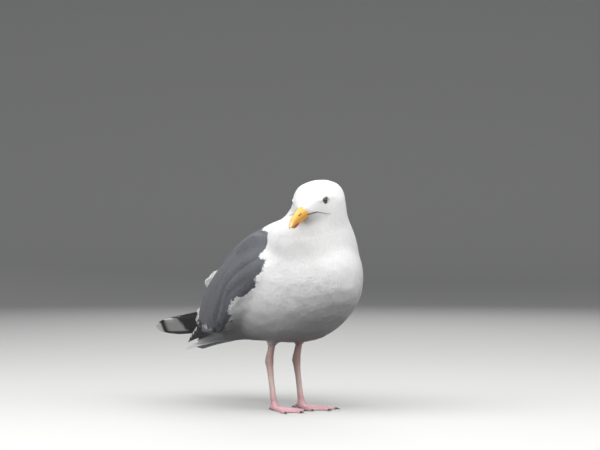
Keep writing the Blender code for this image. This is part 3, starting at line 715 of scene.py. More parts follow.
def aheadOfLegs(points):  # the back's feathers grow towards its hind end
    return (points - standPoint)[:, 0]


faceSizes = growingSizes(faceFeathers, fromBill)
backSizes = growingSizes(backFeathers, aheadOfLegs)
onWhite, onGrey = ("white_plumage", whiteVane), ("grey_plumage", greyVane)
coats = {  # parts, sizes, rows and columns of points in a feather, slot and material
    "coatHead": (["head"], faceSizes, (4, 3), *onWhite),
    "coatNeck": (["neck"], fixedSizes(0.0016, 0.0070, 0.0020), (5, 3), *onWhite),
    "coatTrunk": (["trunk"], fixedSizes(0.0022, 0.0100, 0.0028), (5, 3), *onWhite),
    "coatThighs": (["thigh_left", "thigh_right"], fixedSizes(0.0014, 0.0055, 0.0016), (4, 3), *onWhite),
    "coatMantle": (["mantle"], backSizes, (6, 5), *onGrey),
    "coatWingLeft": (["wing_left"], backSizes, (6, 5), *onGrey),
    "coatWingRight": (["wing_right"], backSizes, (6, 5), *onGrey),
}
bareFace = {"eye": 0.0062, "billAhead": 0.0100, "billRound": 0.022}  # no roots nearer the eyes or on the bill


def offBareFace(roots):
    h = toHead(roots)
    onBill = (h[:, 0] > bareFace["billAhead"]) & (sizeOf(h) < bareFace["billRound"])
    return roots[(eyeDistance(roots) > bareFace["eye"]) & ~onBill]


for seed, (name, (parts, sizes, shape, slotName, material)) in enumerate(coats.items()):
    rng = np.random.default_rng(100 + seed)
    roots = offBareFace(scatter(rng, np.any([partIs[part] for part in parts], axis=0), sizes))
    dress(layFeathers(name, rng, roots, sizes, *shape, material), slotName)
    print(name, len(roots), "feathers")


# the skin, sunk below the form by the coat's depth

skinLook = {"deeper": 1.05, "shade": 0.92, "eyeWell": 0.0024, "wellEdge": (0.0054, 0.0068)}


def skinPiece():  # soft down: no gloss, a little darker than the feathers over it
    material, tree, shader = newMaterial("downySkin", {"Roughness": 0.9, "Specular IOR Level": 0.2})
    joinNodes(tree, shader, {"Base Color": addNode(tree, "Attribute", {"attribute_name": "tint"})})
    depth = depthAt(bodyPoints, bodyPart) * skinLook["deeper"]
    depth += skinLook["eyeWell"] * (1 - ramp(eyeDistance(bodyPoints), *skinLook["wellEdge"]))
    skin = meshPiece("skin", bodyPoints - bodyNormals * depth[:, None], bodyQuads, material)
    addTint(skin, markings(bodyPoints, ramp(bodyGrey, 0.4, 0.6)) * skinLook["shade"])
    dress(skin, "white_plumage", *plumage["fleshNodes"])


skinPiece()
print("skin done")


# the wings' white-tipped feathers, hung along each panel's lower hind rim

rimShape = {"from": -0.160, "to": -0.085, "count": 8, "above": 0.013, "sizes": (0.0, 0.021, 0.0088),
            "way": (-0.80, 0.0, -0.60), "whiteFrom": 0.72, "lifted": 0.0009, "points": (14, 7), "near": 0.010}


def rimRoots(side):  # points on the panel's outer face, a little above its lower rim
    points, _ = nodeMesh(f"wing_{side}")
    here = points - standPoint
    roots = []
    for x in np.linspace(rimShape["from"], rimShape["to"], rimShape["count"]):
        near = here[np.abs(here[:, 0] - x) < rimShape["near"]]
        lowest = near[np.argmin(near[:, 2])]
        face = near[near[:, 2] < lowest[2] + 2 * rimShape["above"]]
        outermost = face[np.argmax(face[:, 1] * sides[side])]
        roots.append([x, outermost[1], lowest[2] + rimShape["above"]])
    return np.array(roots) + standPoint


for side in sides:
    rng = np.random.default_rng(31)
    roots = rimRoots(side)
    sizes, way = fixedSizes(*rimShape["sizes"]), np.broadcast_to(rimShape["way"], roots.shape)
    rim = layFeathers(f"secondaryTips_{side}", rng, roots, sizes, *rimShape["points"], greyVane,
                      rimShape["whiteFrom"], way, rimShape["lifted"])
    dress(rim, "grey_plumage")
print("secondary tips done")


def formPiece(name, points, quads, tint, material, slotName, *nodes):
    piece = meshPiece(name, points, quads, material)
    addTint(piece, tint)
    addUv(piece, "OFBake", unwrapRound(points))
    dress(piece, slotName, *nodes)
    return piece


# flight feathers: each a closed thin vane on its shaft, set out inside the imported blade

flightShape = {
    "stations": 26, "ends": (0.002, 0.0006),  # sections through the blade, and what stays clear at its ends
    "rows": 26, "columns": 9, "crowding": 1.25, "thick": 0.00030, "thinEdge": 0.7,
    "shaft": 0.0008, "shaftSides": 6, "shaftFlat": 0.62, "cup": 0.04, "sweptBack": 0.10,
    "rounding": (0.93, 2.2), "notch": (0.10, 0.45, 0.8, 0.012),  # a small split in each inner vane
    "map": {"vane": (0.02, 0.86), "shaft": (0.90, 0.08), "along": (0.03, 0.97)},
}


def bladeSpace(node):
    points, faces = nodeMesh(node)
    middle = (points.min(0) + points.max(0)) / 2
    axes = np.linalg.svd(points - points.mean(0), full_matrices=False)[2]
    along = axes[0] * (-1 if axes[0][0] > 0 else 1)  # towards the tip, behind the bird
    over = axes[2] * (-1 if axes[2][2] < 0 else 1)
    across = np.cross(over, along)
    local = (points - middle) @ np.stack([along, across, over]).T
    edges = np.array([(f[i], f[i - 1]) for f in faces for i in range(len(f))])
    a, b = local[edges[:, 0]], local[edges[:, 1]]
    low, high = local[:, 0].min(), local[:, 0].max()
    rows = []
    rootEnd, tipEnd = flightShape["ends"]
    for t in np.linspace(low + rootEnd, high - tipEnd, flightShape["stations"]):
        cut = (a[:, 0] - t) * (b[:, 0] - t) < 0
        share = (t - a[cut, 0]) / (b[cut, 0] - a[cut, 0])
        section = a[cut, 1] + share * (b[cut, 1] - a[cut, 1])
        rows.append([t, section.min(), section.max()])
    rows = np.array(rows)
    widest = np.argmax(rows[:, 2] - rows[:, 1])
    rows[:widest, 1:] = rows[widest, 1:]  # the root end is cut off aslant by the body
    sheet = np.linalg.lstsq(sheetTerms(local[:, 0], local[:, 1]), local[:, 2], rcond=None)[0]
    outer = 1.0 if across[1] * middle[1] > 0 else -1.0
    return {"middle": middle, "axes": np.stack([along, across, over]), "rows": rows, "sheet": sheet,
            "low": low, "high": high, "outer": outer}


def sheetTerms(t, w):  # the blade's middle sheet is a low curve in both directions
    return np.stack([np.ones_like(t), t, t**2, t**3, w, w * t, w**2, w**2 * t], -1)


def bladePoint(space, t, w, lift):  # metres along and across the blade, and above its middle sheet
    t, w = np.broadcast_arrays(t, w)
    low, high = (np.interp(t, space["rows"][:, 0], space["rows"][:, i]) for i in (1, 2))
    w = np.clip(w, low, high)
    return space["middle"] + np.stack([t, w, sheetTerms(t, w) @ space["sheet"] + lift], -1) @ space["axes"]


def flightFeather(space, spec, rng):
    it = flightShape
    s = 1 - (1 - np.linspace(0, 1, it["rows"])) ** it["crowding"]
    tip = space["low"] + spec["to"] * (space["high"] - space["low"]) - it["ends"][1]
    t = space["low"] + (tip - space["low"]) * s
    low, high = (np.interp(t, space["rows"][:, 0], space["rows"][:, i]) for i in (1, 2))
    half = (high - low) / 2
    v = spec["shaft"][0] + (spec["shaft"][1] - spec["shaft"][0]) * s**1.2
    centre = ((low + high) / 2 + half * v * space["outer"])[:, None]
    by, power = it["rounding"]
    closing = np.sqrt(1 - by * np.clip((s - spec["roundFrom"]) / (1 - spec["roundFrom"]), 0, 1) ** power)
    deep, start, end, long = it["notch"]
    notch = 1 - deep * bell(s, rng.uniform(start, end), long)
    across = np.linspace(-1, 1, it["columns"])
    outer, inner = (share * half.max() * closing for share in spec["vanes"])
    reach = np.where(across > 0, outer[:, None], (inner * notch)[:, None])
    w = centre + across * reach * space["outer"]
    swept = t[:, None] - it["sweptBack"] * reach * across**2 * ramp(s, 0.6, 1.0)[:, None]
    thick = it["thick"] * (1 - it["thinEdge"] * across**2)
    layer = spec["layer"] - it["cup"] * reach * across**2
    top, under = (bladePoint(space, swept, w, layer + face * thick) for face in (1, -1))
    fromTip, wide, fromRoot = np.broadcast_arrays(tip - swept, across, (t - t[0])[:, None])
    tints = [spec["tint"](fromTip * 1000, wide, isTop) for isTop in (True, False)]
    flat = np.stack([w - centre, fromRoot], -1) * 1000
    vane = [np.concatenate([a, b[:, -2:0:-1]], 1) for a, b in ((top, under), tints, (flat, flat))]
    turns = np.arange(it["shaftSides"]) / it["shaftSides"] * 2 * math.pi
    size = it["shaft"] * (1 - 0.8 * s[:, None])
    stalk = bladePoint(space, t[:, None], centre + size * np.cos(turns),
                       spec["layer"] + it["shaftFlat"] * size * np.sin(turns))
    return vane, stalk


def ringFaces(rows, around, first):  # a closed tube of rings, capped at both ends
    faces = []
    for i in range(rows - 1):
        for j in range(around):
            k = (j + 1) % around
            a, b = first + i * around, first + (i + 1) * around
            faces.append([a + j, a + k, b + k, b + j])
    faces.append([first + j for j in range(around)][::-1])
    faces.append([first + (rows - 1) * around + j for j in range(around)])
    return faces


def faceOutward(mesh, joined=False):  # joined: the points along a grid's seam become one
    repair = bmesh.new()
    repair.from_mesh(mesh)
    if joined:
        bmesh.ops.remove_doubles(repair, verts=repair.verts, dist=0.0000005)
    bmesh.ops.recalc_face_normals(repair, faces=repair.faces)
    repair.to_mesh(mesh)
    repair.free()


def flightPiece(name, node, look, specs):
    space = bladeSpace(node)
    rng = np.random.default_rng(len(name) * 7 + 3)
    it = flightShape["map"]
    points, faces, tints, vanes, maps = [], [], [], [], []
    first = 0
    cells = math.ceil(math.sqrt(len(specs)))
    for i, spec in enumerate(specs):
        vane, stalk = flightFeather(space, spec, rng)
        cell = np.array([i % cells, i // cells]) / cells
        shaft = [stalk, np.broadcast_to(linearColour(look["shaftColour"]), stalk.shape), 0 * stalk[..., :2]]
        for (part, tint, flat), (start, share) in ((vane, it["vane"]), (shaft, it["shaft"])):
            rows, around = part.shape[:2]
            faces += ringFaces(rows, around, first)
            u, v = np.meshgrid(np.abs(np.linspace(-1, 1, around)), np.linspace(*it["along"], rows))
            points.append(part.reshape(-1, 3))
            tints.append(tint.reshape(-1, 3))
            vanes.append(flat.reshape(-1, 2))
            maps.append((cell + np.stack([start + share * u, v], -1) / cells).reshape(-1, 2))
            first += rows * around
    piece = meshPiece(name, np.concatenate(points), faces, flightVane)
    faceOutward(piece.data)
    addTint(piece, np.concatenate(tints))
    addUv(piece, "OFBake", np.concatenate(maps))
    addUv(piece, "vane", np.concatenate(vanes))
    dress(piece, look["slot"], node)


primaryMarks = {  # millimetres from the tip, and shares across the vane
    "tongue": ((17, 23), (51, 7, 4), (0.30, 0.55)),
    "mirror": ((19, 22), (33, 38), (0.66, 0.80)),
    "spot": ((29, 3.5), (0.75, 0.95)),
}


def primaryTint(tip, longest):  # black, with a white spot at the tip
    def tint(fromTip, across, isTop):
        colour = np.broadcast_to(black, (*fromTip.shape, 3))
        if not isTop:  # from below, a grey tongue runs up the inner vane
            starts, (end, slant, soft), outerEdge = primaryMarks["tongue"]
            ends = end + slant * across
            tongue = ramp(fromTip, *starts) * (1 - ramp(fromTip, ends, ends + soft))
            colour = blend(colour, tongueGrey, tongue * (1 - ramp(across, *outerEdge)))
        if longest:  # and a white mirror along the inner edge
            starts, ends, inward = primaryMarks["mirror"]
            mirror = ramp(fromTip, *starts) * (1 - ramp(fromTip, *ends)) * ramp(-across, *inward)
            middle, outward = primaryMarks["spot"]
            spot = bell(fromTip, *middle) * ramp(across, *outward)
            colour = blend(colour, white, np.maximum(mirror, spot))
        return blend(colour, white, 1 - ramp(fromTip - 2.5 * across**2, tip - 1.5, tip + 0.5))
    return tint


def tertialTint(tip, _):  # grey feather with a broad white tip
    def tint(fromTip, across, isTop):
        base = np.broadcast_to(grey if isTop else greyPale, (*fromTip.shape, 3))
        return blend(base, white, 1 - ramp(fromTip + 3 * across**2, tip - 2, tip + 2))
    return tint


def tailTint(fromTip, across, isTop):
    return np.broadcast_to(white, (*fromTip.shape, 3))


flightSets = {  # where each feather's tip comes on its blade, and how they step across it
    "tail": {"pairs": 6, "start": 0.06, "step": 0.080, "shorter": 0.002, "vanes": (0.34, 0.34),
             "layer": 0.0018, "rise": -0.0003, "roundFrom": 0.88,
             "shaftColour": "#D8D2C6", "slot": "white_plumage"},
    "primaries": {"tips": [1.0, 0.90, 0.79, 0.68, 0.57], "start": 0.40, "step": -0.26, "vanes": (0.50, 1.22),
                  "layer": -0.0012, "rise": 0.0006, "roundFrom": 0.84, "whiteTips": [11.0] + [6.0] * 4,
                  "shaftColour": "#2B2422", "slot": "black_plumage"},
    "tertials": {"tips": [1.0, 0.90, 0.78], "start": 0.25, "step": -0.28, "vanes": (0.85, 0.90),
                 "layer": -0.0012, "rise": 0.0009, "roundFrom": 0.62, "whiteTips": [36] * 3,
                 "shaftColour": "#B9B6B2", "slot": "white_plumage"},
}  # white tips in millimetres


def flightSpec(it, i, tip, shaft, tint):
    return {"to": tip, "shaft": shaft, "vanes": it["vanes"], "layer": it["layer"] + it["rise"] * i,
            "roundFrom": it["roundFrom"], "tint": tint}


def rectrices(it):  # twelve, the middle pair on top
    specs = []
    for pair in range(it["pairs"]):
        for side in (1, -1):
            v = side * (it["start"] + it["step"] * pair)
            specs.append(flightSpec(it, pair, 1 - it["shorter"] * pair, (v * 0.5, v), tailTint))
    return specs


def stepped(it, tintOf):
    specs = []
    for i, tip in enumerate(it["tips"]):
        v = it["start"] + it["step"] * i
        specs.append(flightSpec(it, i, tip, (v, v), tintOf(it["whiteTips"][i], i == 0)))
    return specs


flightPiece("tailFeathers", "tail", flightSets["tail"], rectrices(flightSets["tail"]))
for side in sides:
    for name, kind, tintOf in (("primary", "primaries", primaryTint), ("tertial", "tertials", tertialTint)):
        it = flightSets[kind]
        flightPiece(f"{name}Feathers_{side}", f"{kind}_{side}", it, stepped(it, tintOf))
print("flight feathers done")


# eyes: wet dark balls with a fibrous iris, set in a soft rim of bare skin

eyeLook = {  # degrees from the axis, and metres
    "pupil": 16.0, "iris": 41.0, "fibres": (61, 23),
    "ball": 0.985, "corneaRise": (0.05, 0.50), "sunk": 0.0002,
    "openWide": 53.0, "openHigh": 33.0, "rimTo": 70.0, "rimThick": 0.0004,
    "rimOut": [-0.03, 0.0, 0.05, 0.12, 0.22, 0.34, 0.48, 0.48, 0.2, -0.03],  # its section, from the opening
    "rimLift": [0.1, 0.75, 1.05, 0.95, 0.70, 0.20, -0.9, -2.2, -1.6, -0.6],  # and outward, in thicknesses
    "crinkle": 0.00007, "crinkles": (34, 3, 5),
}
eyeColours = palette({"pupil": "#0A0807", "irisInner": "#2E2119", "irisOuter": "#1A1310", "ball": "#3A312C",
                      "rimEdge": "#2C2220", "rim": "#A79C96", "rimOuter": "#FAF9F7"})


def aroundEye(side, angles, turns, radius):  # a grid of points about the eye's axis
    outward = eyeOutward[side]
    ahead = unit(headTurn[0] - headTurn[0].dot(outward) * outward)
    up = np.cross(outward, ahead)
    ways = (np.cos(angles)[..., None] * outward
            + np.sin(angles)[..., None] * (np.cos(turns)[..., None] * ahead + np.sin(turns)[..., None] * up))
    return eyeMiddle[side] - outward * eyeLook["sunk"] + ways * radius[..., None]


def eyeBall(side, material):
    angles = np.radians(np.concatenate([np.linspace(0, 48, 40), np.linspace(52, 180, 24)]))
    turns = np.linspace(0, 2 * math.pi, 97)
    angle, turn = np.meshgrid(angles, turns, indexing="ij")
    rise, wide = eyeLook["corneaRise"]
    radius = eyeRadius * (eyeLook["ball"] + rise * bell(angle, 0, wide))
    degrees = np.degrees(angle)
    fine, broad = eyeLook["fibres"]
    fibre = 0.5 + 0.28 * np.sin(turn * fine) + 0.22 * np.sin(turn * broad + degrees * 0.35)
    across = ramp(degrees, eyeLook["pupil"], eyeLook["iris"])
    tint = blend(eyeColours["irisInner"], eyeColours["irisOuter"], np.clip(across * 0.8 + fibre * 0.35, 0, 1))
    tint = blend(tint, eyeColours["pupil"], 1 - ramp(degrees, eyeLook["pupil"] - 0.8, eyeLook["pupil"] + 0.8))
    tint = blend(tint, eyeColours["ball"], ramp(degrees, eyeLook["iris"] - 1, eyeLook["iris"] + 2))
    facePiece(f"eyeball_{side}", aroundEye(side, angle, turn, radius), tint, material, f"eye_{side}")


def eyeRim(side, material):
    turns = np.linspace(0, 2 * math.pi, 121)
    opening = np.radians(np.hypot(eyeLook["openWide"] * np.cos(turns), eyeLook["openHigh"] * np.sin(turns)))
    out = np.array(eyeLook["rimOut"])
    lift = np.array(eyeLook["rimLift"]) * eyeLook["rimThick"]
    share = out[:, None] / out.max()
    angle = opening + share * (math.radians(eyeLook["rimTo"]) - opening)
    turn = np.broadcast_to(turns, angle.shape)
    many, wander, slow = eyeLook["crinkles"]
    crinkle = eyeLook["crinkle"] * np.sin(turn * many + wander * np.sin(turn * slow)) * bell(share, 0.3, 0.3)
    radius = eyeRadius + lift[:, None] + crinkle
    tint = blend(eyeColours["rimEdge"], eyeColours["rim"], ramp(share, 0.02, 0.16))
    tint = blend(tint, eyeColours["rimOuter"], ramp(share, 0.30, 0.62))
    facePiece(f"eyeRim_{side}", aroundEye(side, angle, turn, radius), tint, material)


def facePiece(name, grid, tint, material, *nodes, faces=None):  # a grid of points, closed on itself
    rows, columns = grid.shape[:2]
    piece = meshPiece(name, grid, gridFaces(1, rows, columns) if faces is None else faces, material)
    u, v = np.meshgrid(np.linspace(0.02, 0.98, columns), np.linspace(0.02, 0.98, rows))
    addTint(piece, np.broadcast_to(tint, grid.shape))
    addUv(piece, "OFBake", np.stack([u, v], -1))
    faceOutward(piece.data, joined=True)
    dress(piece, "eye", *nodes)


def tintedMaterial(name, settings, perMetre, mottle, bump=None):  # the tint attribute, mottled by noise
    material, tree, shader = newMaterial(name, settings)
    tint = addNode(tree, "Attribute", {"attribute_name": "tint"})
    place = addNode(tree, "TexCoord").outputs["Object"]
    grain = addNode(tree, "TexNoise", {"Scale": perMetre, "Detail": 4.0}, {"Vector": place})
    shade = addNode(tree, "MapRange", {"To Min": 1 - mottle, "To Max": 1 + mottle}, {"Value": grain})
    shadeAndRaise(tree, shader, tint, shade, grain, bump)
    return material


# cornea: smooth and wet, so it mirrors the lights
cornea = tintedMaterial("wetCornea", {"Roughness": 0.08, "IOR": 1.376, "Coat Weight": 1.0,
                                      "Coat Roughness": 0.02}, 900, 0.05)
# bare skin of the eye's rim and the gape: soft and faintly moist
bareSkin = tintedMaterial("bareFaceSkin", {"Roughness": 0.55, "IOR": 1.40}, 1600, 0.06,
                          {"Strength": 0.4, "Distance": 0.0001})
for side in sides:
    eyeBall(side, cornea)
    eyeRim(side, bareSkin)
print("eyes done")


# the bill: solid horn over bone, waxy and finely ridged, with the red spot of an adult

billLook = {
    "grain": 0.00042, "softening": 4, "tip": 0.0455, "rootFrom": 0.006,
    "nostril": (0.0215, 0.0295, 0.0036, 0.0008), "nostrilDeep": 0.0005,  # start, end, height, thickness
    "spot": (0.0362, 0.0058),  # middle and radius
    "highlightAbove": (0.0035, 0.0085), "spotBelow": (0.0012, 0.0030),  # from the line where the halves meet
    "closing": (0.0040, 0.034, 1.85), "edgeLine": (0.6, 0.0004, 0.0005),  # that line, and its darker edge
    "rooted": 0.0045, "rootedFrom": (0.0006, 0.0035),  # how far it goes into the face, and where
    "edgeGroove": 0.00010, "grooveAt": {"bill_upper": 0.0019, "bill_lower": -0.0012}, "grooveWide": 0.0006,
}
# the ridge colour is a painted highlight along the top of the upper half
billColours = palette({"horn": "#E2A73F", "ridge": "#EBBE62", "tip": "#E6C88C", "root": "#D9A655",
                       "edge": "#B9782F", "nostril": "#4A2C1A", "spot": "#B23A26"})


def billTint(h, isUpper):
    colours = billColours
    x, _, z = h.T
    above = z - closingLine(x)
    # painted highlight: paler along the top of the upper half, above the line where the halves meet
    tint = blend(colours["horn"], colours["ridge"], ramp(above, *billLook["highlightAbove"]) * isUpper)
    tint = blend(tint, colours["root"], 1 - ramp(x, billLook["rootFrom"], billLook["rootFrom"] + 0.006))
    tint = blend(tint, colours["tip"], ramp(x, billLook["tip"] - 0.004, billLook["tip"] + 0.004))
    if isUpper:
        # painted shade: the nostril's slit is darkened, standing in for the shade inside its opening
        tint = blend(tint, colours["nostril"], nostrilShare(h))
        strength, middle, wide = billLook["edgeLine"]
        tint = blend(tint, colours["edge"], ridge(above, strength, middle, wide))
    else:
        middle, radius = billLook["spot"]
        low = ramp(-above, *billLook["spotBelow"])
        tint = blend(tint, colours["spot"], low * (1 - ramp(np.abs(x - middle) / radius, 0.75, 1.0)))
    return tint


def closingLine(x):  # the height at which the two halves of the bill meet
    low, at, power = billLook["closing"]
    return -low * (np.maximum(x, 0) / at) ** power


# the nostril's slit: it sinks a shallow dent, and marks where shade is painted into it
def nostrilShare(h):
    start, end, high, thick = billLook["nostril"]
    x, _, z = h.T
    inside = ramp(x, start - 0.0004, start + 0.0008) * (1 - ramp(x, end - 0.0008, end + 0.0004))
    return inside * bell(z, high - 0.22 * (x - start), thick)


def billHalf(name, node, material):
    points, normals, quads = fusedForm([node], billLook["grain"], 0.0, billLook["softening"])
    fromFace = np.array([bodyTree.find_nearest(p)[3] for p in points.tolist()])
    rooted = billLook["rooted"] * (1 - ramp(fromFace, *billLook["rootedFrom"]))
    points = points - headTurn[0] * rooted[:, None]
    h = toHead(points)
    isUpper = node == "bill_upper"
    grooveHeight = closingLine(h[:, 0]) + billLook["grooveAt"][node]
    sunk = ridge(h[:, 2], billLook["edgeGroove"], grooveHeight, billLook["grooveWide"])
    if isUpper:
        sunk += billLook["nostrilDeep"] * nostrilShare(h)
    points = points - normals * sunk[:, None]
    formPiece(name, points, quads, billTint(h, isUpper), material, "bill", node)


# horn keratin: a dull wax gloss with growth ridges about a millimetre apart
horn = tintedMaterial("hornKeratin", {"Roughness": 0.40, "IOR": 1.54, "Coat Weight": 0.15,
                                      "Coat Roughness": 0.3, "Subsurface Weight": 0.12,
                                      "Subsurface Scale": 0.003}, 700, 0.10,
                      {"Strength": 0.35, "Distance": 0.0002})
billHalf("billUpper", "bill_upper", horn)
billHalf("billLower", "bill_lower", horn)


# the gape: a dark line from the bill's corner back under the eye, bare skin at the corner and painted shade
# of a crease behind it

gapeAndCreaseShade = {
    "line": [(0.0082, -0.0010), (-0.0010, -0.0003), (-0.0055, -0.0020), (-0.0125, -0.0056),
             (-0.0175, -0.0076)],  # (ahead, up)
    "thick": [(0.0, 0.0016), (0.15, 0.0012), (0.35, 0.0007), (0.6, 0.0004), (1.0, 0.0002)],
    "colours": {0.08: "#8A6436", 0.20: "#5A4636", 0.34: "#5C504A", 0.9: "#8C827D"},  # along the line
    "points": 30, "sides": 10, "sunk": (0.25, 0.0001), "up": 0.7, "out": 0.8,
}


def gapeShadeTube(side):
    share = np.linspace(0, 1, gapeAndCreaseShade["points"])
    course = eased(gapeAndCreaseShade["line"], 8)
    x, z = (np.interp(share, np.linspace(0, 1, len(course)), column) for column in course.T)
    line = fromHead(np.stack([x, np.full(len(x), 0.03 * sides[side]), z], 1))
    way = -headTurn[1] * sides[side]
    turns = (np.arange(gapeAndCreaseShade["sides"]) / gapeAndCreaseShade["sides"] * 2 * math.pi)[:, None]
    rings = []
    for start, size in zip(line, np.interp(share, *np.transpose(gapeAndCreaseShade["thick"]))):
        hit, normal = (np.array(v) for v in bodyTree.ray_cast(Vector(start), Vector(way))[:2])
        up = unit(np.cross(normal, headTurn[0]))
        ring = np.cos(turns) * up * gapeAndCreaseShade["up"] + np.sin(turns) * normal * gapeAndCreaseShade["out"]
        rings.append(hit + normal * (gapeAndCreaseShade["sunk"][1] - gapeAndCreaseShade["sunk"][0] * size) + size * ring)
    return np.array(rings)


# the colours along the line: the gape's own skin at the bill's corner, then darker painted shade of a crease
# back under the eye
for side in sides:
    marks = np.array([linearColour(c) for c in gapeAndCreaseShade["colours"].values()])
    share = np.linspace(0, 1, gapeAndCreaseShade["points"])
    tint = np.stack([np.interp(share, list(gapeAndCreaseShade["colours"]), channel) for channel in marks.T], 1)
    faces = ringFaces(gapeAndCreaseShade["points"], gapeAndCreaseShade["sides"], 0)
    facePiece(f"gape_{side}", gapeShadeTube(side), tint[:, None], bareSkin, faces=faces)
print("bill done")


# legs: one skin over shank, toes and webs, in plates on the front and fine scales behind

legLook = {
    "grain": 0.0006, "softening": 3, "sinkInPlumage": 0.0010,
    "plate": 2.4, "scalesPerMetre": 620.0,  # plates in millimetres along the leg and toes
    "plateGroove": 0.00016, "wrinkle": 0.00012, "wrinklesPerMetre": 260.0, "ankle": 0.014, "sole": 0.0006,
    "bump": {"Strength": 0.8, "Distance": 0.0003}, "grooveShade": 0.72,
    "upShank": (0.008, 0.030), "joints": ((0.068, 0.012), (0.014, 0.006)), "jointStrength": (0.7, 0.8),
    "web": ((0.0022, 0.0045), (0.012, 0.024), 0.8), "soleFades": (0.004, 0.008),
}
legColours = palette({"shank": "#E6CDC6", "joint": "#CDA39E", "foot": "#E9B6C2", "web": "#EDBDC6",
                      "sole": "#C79D98"})
level = np.array([1, 1, 0])  # times a place, the floor below it


def legFoot(side):  # on the floor below the middle of the shank
    return boxMiddle(f"shank_{side}") * level


def legMaterial():  # leg skin: plates and scales of dull keratin, with the light soaking in a little
    material = tintedMaterial(
        "scaledLegSkin", {"Roughness": 0.48, "IOR": 1.45, "Coat Weight": 0.10, "Coat Roughness": 0.4,
                          "Subsurface Weight": 0.15, "Subsurface Scale": 0.002}, 1400, 0.06)
    tree = material.node_tree
    shader = tree.nodes["Principled BSDF"]
    plates = addNode(tree, "Attribute", {"attribute_name": "plates"}).outputs["Vector"]
    parts = addNode(tree, "SeparateXYZ", links={"Vector": plates})
    phase = addNode(tree, "Math", {"operation": "FRACT"}, {0: parts.outputs["X"]})
    fromEdge = addNode(tree, "Math", {"operation": "PINGPONG", 1: 0.5}, {0: phase})
    domed = addNode(tree, "MapRange", {"From Max": 0.22}, {"Value": fromEdge})
    cells = addNode(tree, "TexVoronoi", {"feature": "DISTANCE_TO_EDGE", "Scale": legLook["scalesPerMetre"]},
                    {"Vector": addNode(tree, "TexCoord").outputs["Object"]})
    scales = addNode(tree, "MapRange", {"From Max": 0.25}, {"Value": cells})
    height = addNode(tree, "Mix", links={"Factor": parts.outputs["Y"], "A": scales, "B": domed})
    shade = addNode(tree, "MapRange", {"To Min": legLook["grooveShade"]}, {"Value": height})
    mottled = shader.inputs["Base Color"].links[0].from_socket
    shadeAndRaise(tree, shader, mottled, shade, height, legLook["bump"])
    return material


def legTint(here, normals):
    colours = legColours
    z = here[:, 2]
    tint = blend(colours["foot"], colours["shank"], ramp(z, *legLook["upShank"]))
    heel, ankle = (bell(z, *place) for place in legLook["joints"])
    strength, atAnkle = legLook["jointStrength"]
    tint = blend(tint, colours["joint"], strength * np.maximum(heel, atAnkle * ankle))
    low, out, strength = legLook["web"]
    web = (1 - ramp(z, *low)) * ramp(np.hypot(here[:, 0], here[:, 1]), *out)
    tint = blend(tint, colours["web"], strength * web)
    return blend(tint, colours["sole"], ramp(-normals[:, 2], 0.4, 0.8) * (1 - ramp(z, *legLook["soleFades"])))


def legPiece(side, material):
    nodes = [f"thigh_{side}", f"shank_{side}", f"foot_{side}"]
    points, normals, quads = fusedForm(nodes, legLook["grain"], formSettings["fuseGap"], legLook["softening"])
    here = points - legFoot(side)
    x, y, z = here.T
    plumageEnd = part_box(f"thigh_{side}")[0].z
    along = np.where(z > legLook["ankle"], z, np.hypot(x, y)) * 1000 / legLook["plate"]
    frontOfShank = ramp(normals[:, 0], 0.10, 0.35) * ramp(z, 0.010, 0.016)
    onToes = ramp(normals[:, 2], 0.2, 0.6) * (1 - ramp(z, 0.010, 0.015)) * ramp(z, 0.0028, 0.0040)
    plated = np.maximum(frontOfShank, onToes)
    edge = np.abs((along + 0.5) % 1 - 0.5)
    raised = plated * (ramp(edge, 0.02, 0.16) - 1) * legLook["plateGroove"]
    raised += legLook["wrinkle"] * lumpsAt(points, legLook["wrinklesPerMetre"]) * (1 - plated)
    raised -= legLook["sinkInPlumage"] * ramp(z, plumageEnd - 0.002, plumageEnd + 0.003)
    raised[z < legLook["sole"]] = 0  # the soles stay flat on the floor
    points = points + normals * raised[:, None]
    points[:, 2] = np.maximum(points[:, 2], 0)
    piece = formPiece(f"legSkin_{side}", points, quads, legTint(here, normals), material, "leg_skin",
                      f"shank_{side}", f"foot_{side}")
    layer = piece.data.attributes.new("plates", "FLOAT_VECTOR", "POINT")
    plates = np.stack([along, plated, np.zeros(len(z))], 1)
    layer.data.foreach_set("vector", plates.astype(np.float32).ravel())


clawForm = {"grain": 0.00035, "fuseGap": 0.0, "softening": 2}
clawColours = palette({"root": "#5A4A46", "tip": "#1E1A1B"})


def clawPiece(side, material):
    nodes = [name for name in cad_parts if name.startswith(f"claw_{side}")]
    points, _, quads = fusedForm(nodes, **clawForm)
    points[:, 2] = np.maximum(points[:, 2], 0)
    toes = np.array([boxMiddle(name) for name in nodes])
    nearest = np.argmin(np.linalg.norm(points[:, None] - toes, axis=2), axis=1)
    way = unit((toes - legFoot(side)) * level)[nearest]
    along = ((points - toes[nearest]) * way).sum(1)
    tint = blend(clawColours["root"], clawColours["tip"], ramp(along, -0.0035, 0.0005))
    formPiece(f"claws_{side}", points, quads, tint, material, "claw", *nodes)


legSkin = legMaterial()
# claw keratin: dark horn, smooth and slightly glossy
clawHorn = tintedMaterial("clawKeratin", {"Roughness": 0.35, "IOR": 1.54}, 1500, 0.15,
                          {"Strength": 0.3, "Distance": 0.0001})
for side in sides:
    legPiece(side, legSkin)
    clawPiece(side, clawHorn)
print("legs done")


# floor, light and camera

sweepShape = {"colour": "#CFD0D0", "flat": 3.2, "bend": 1.6, "wallTop": 3.6, "turns": 97}


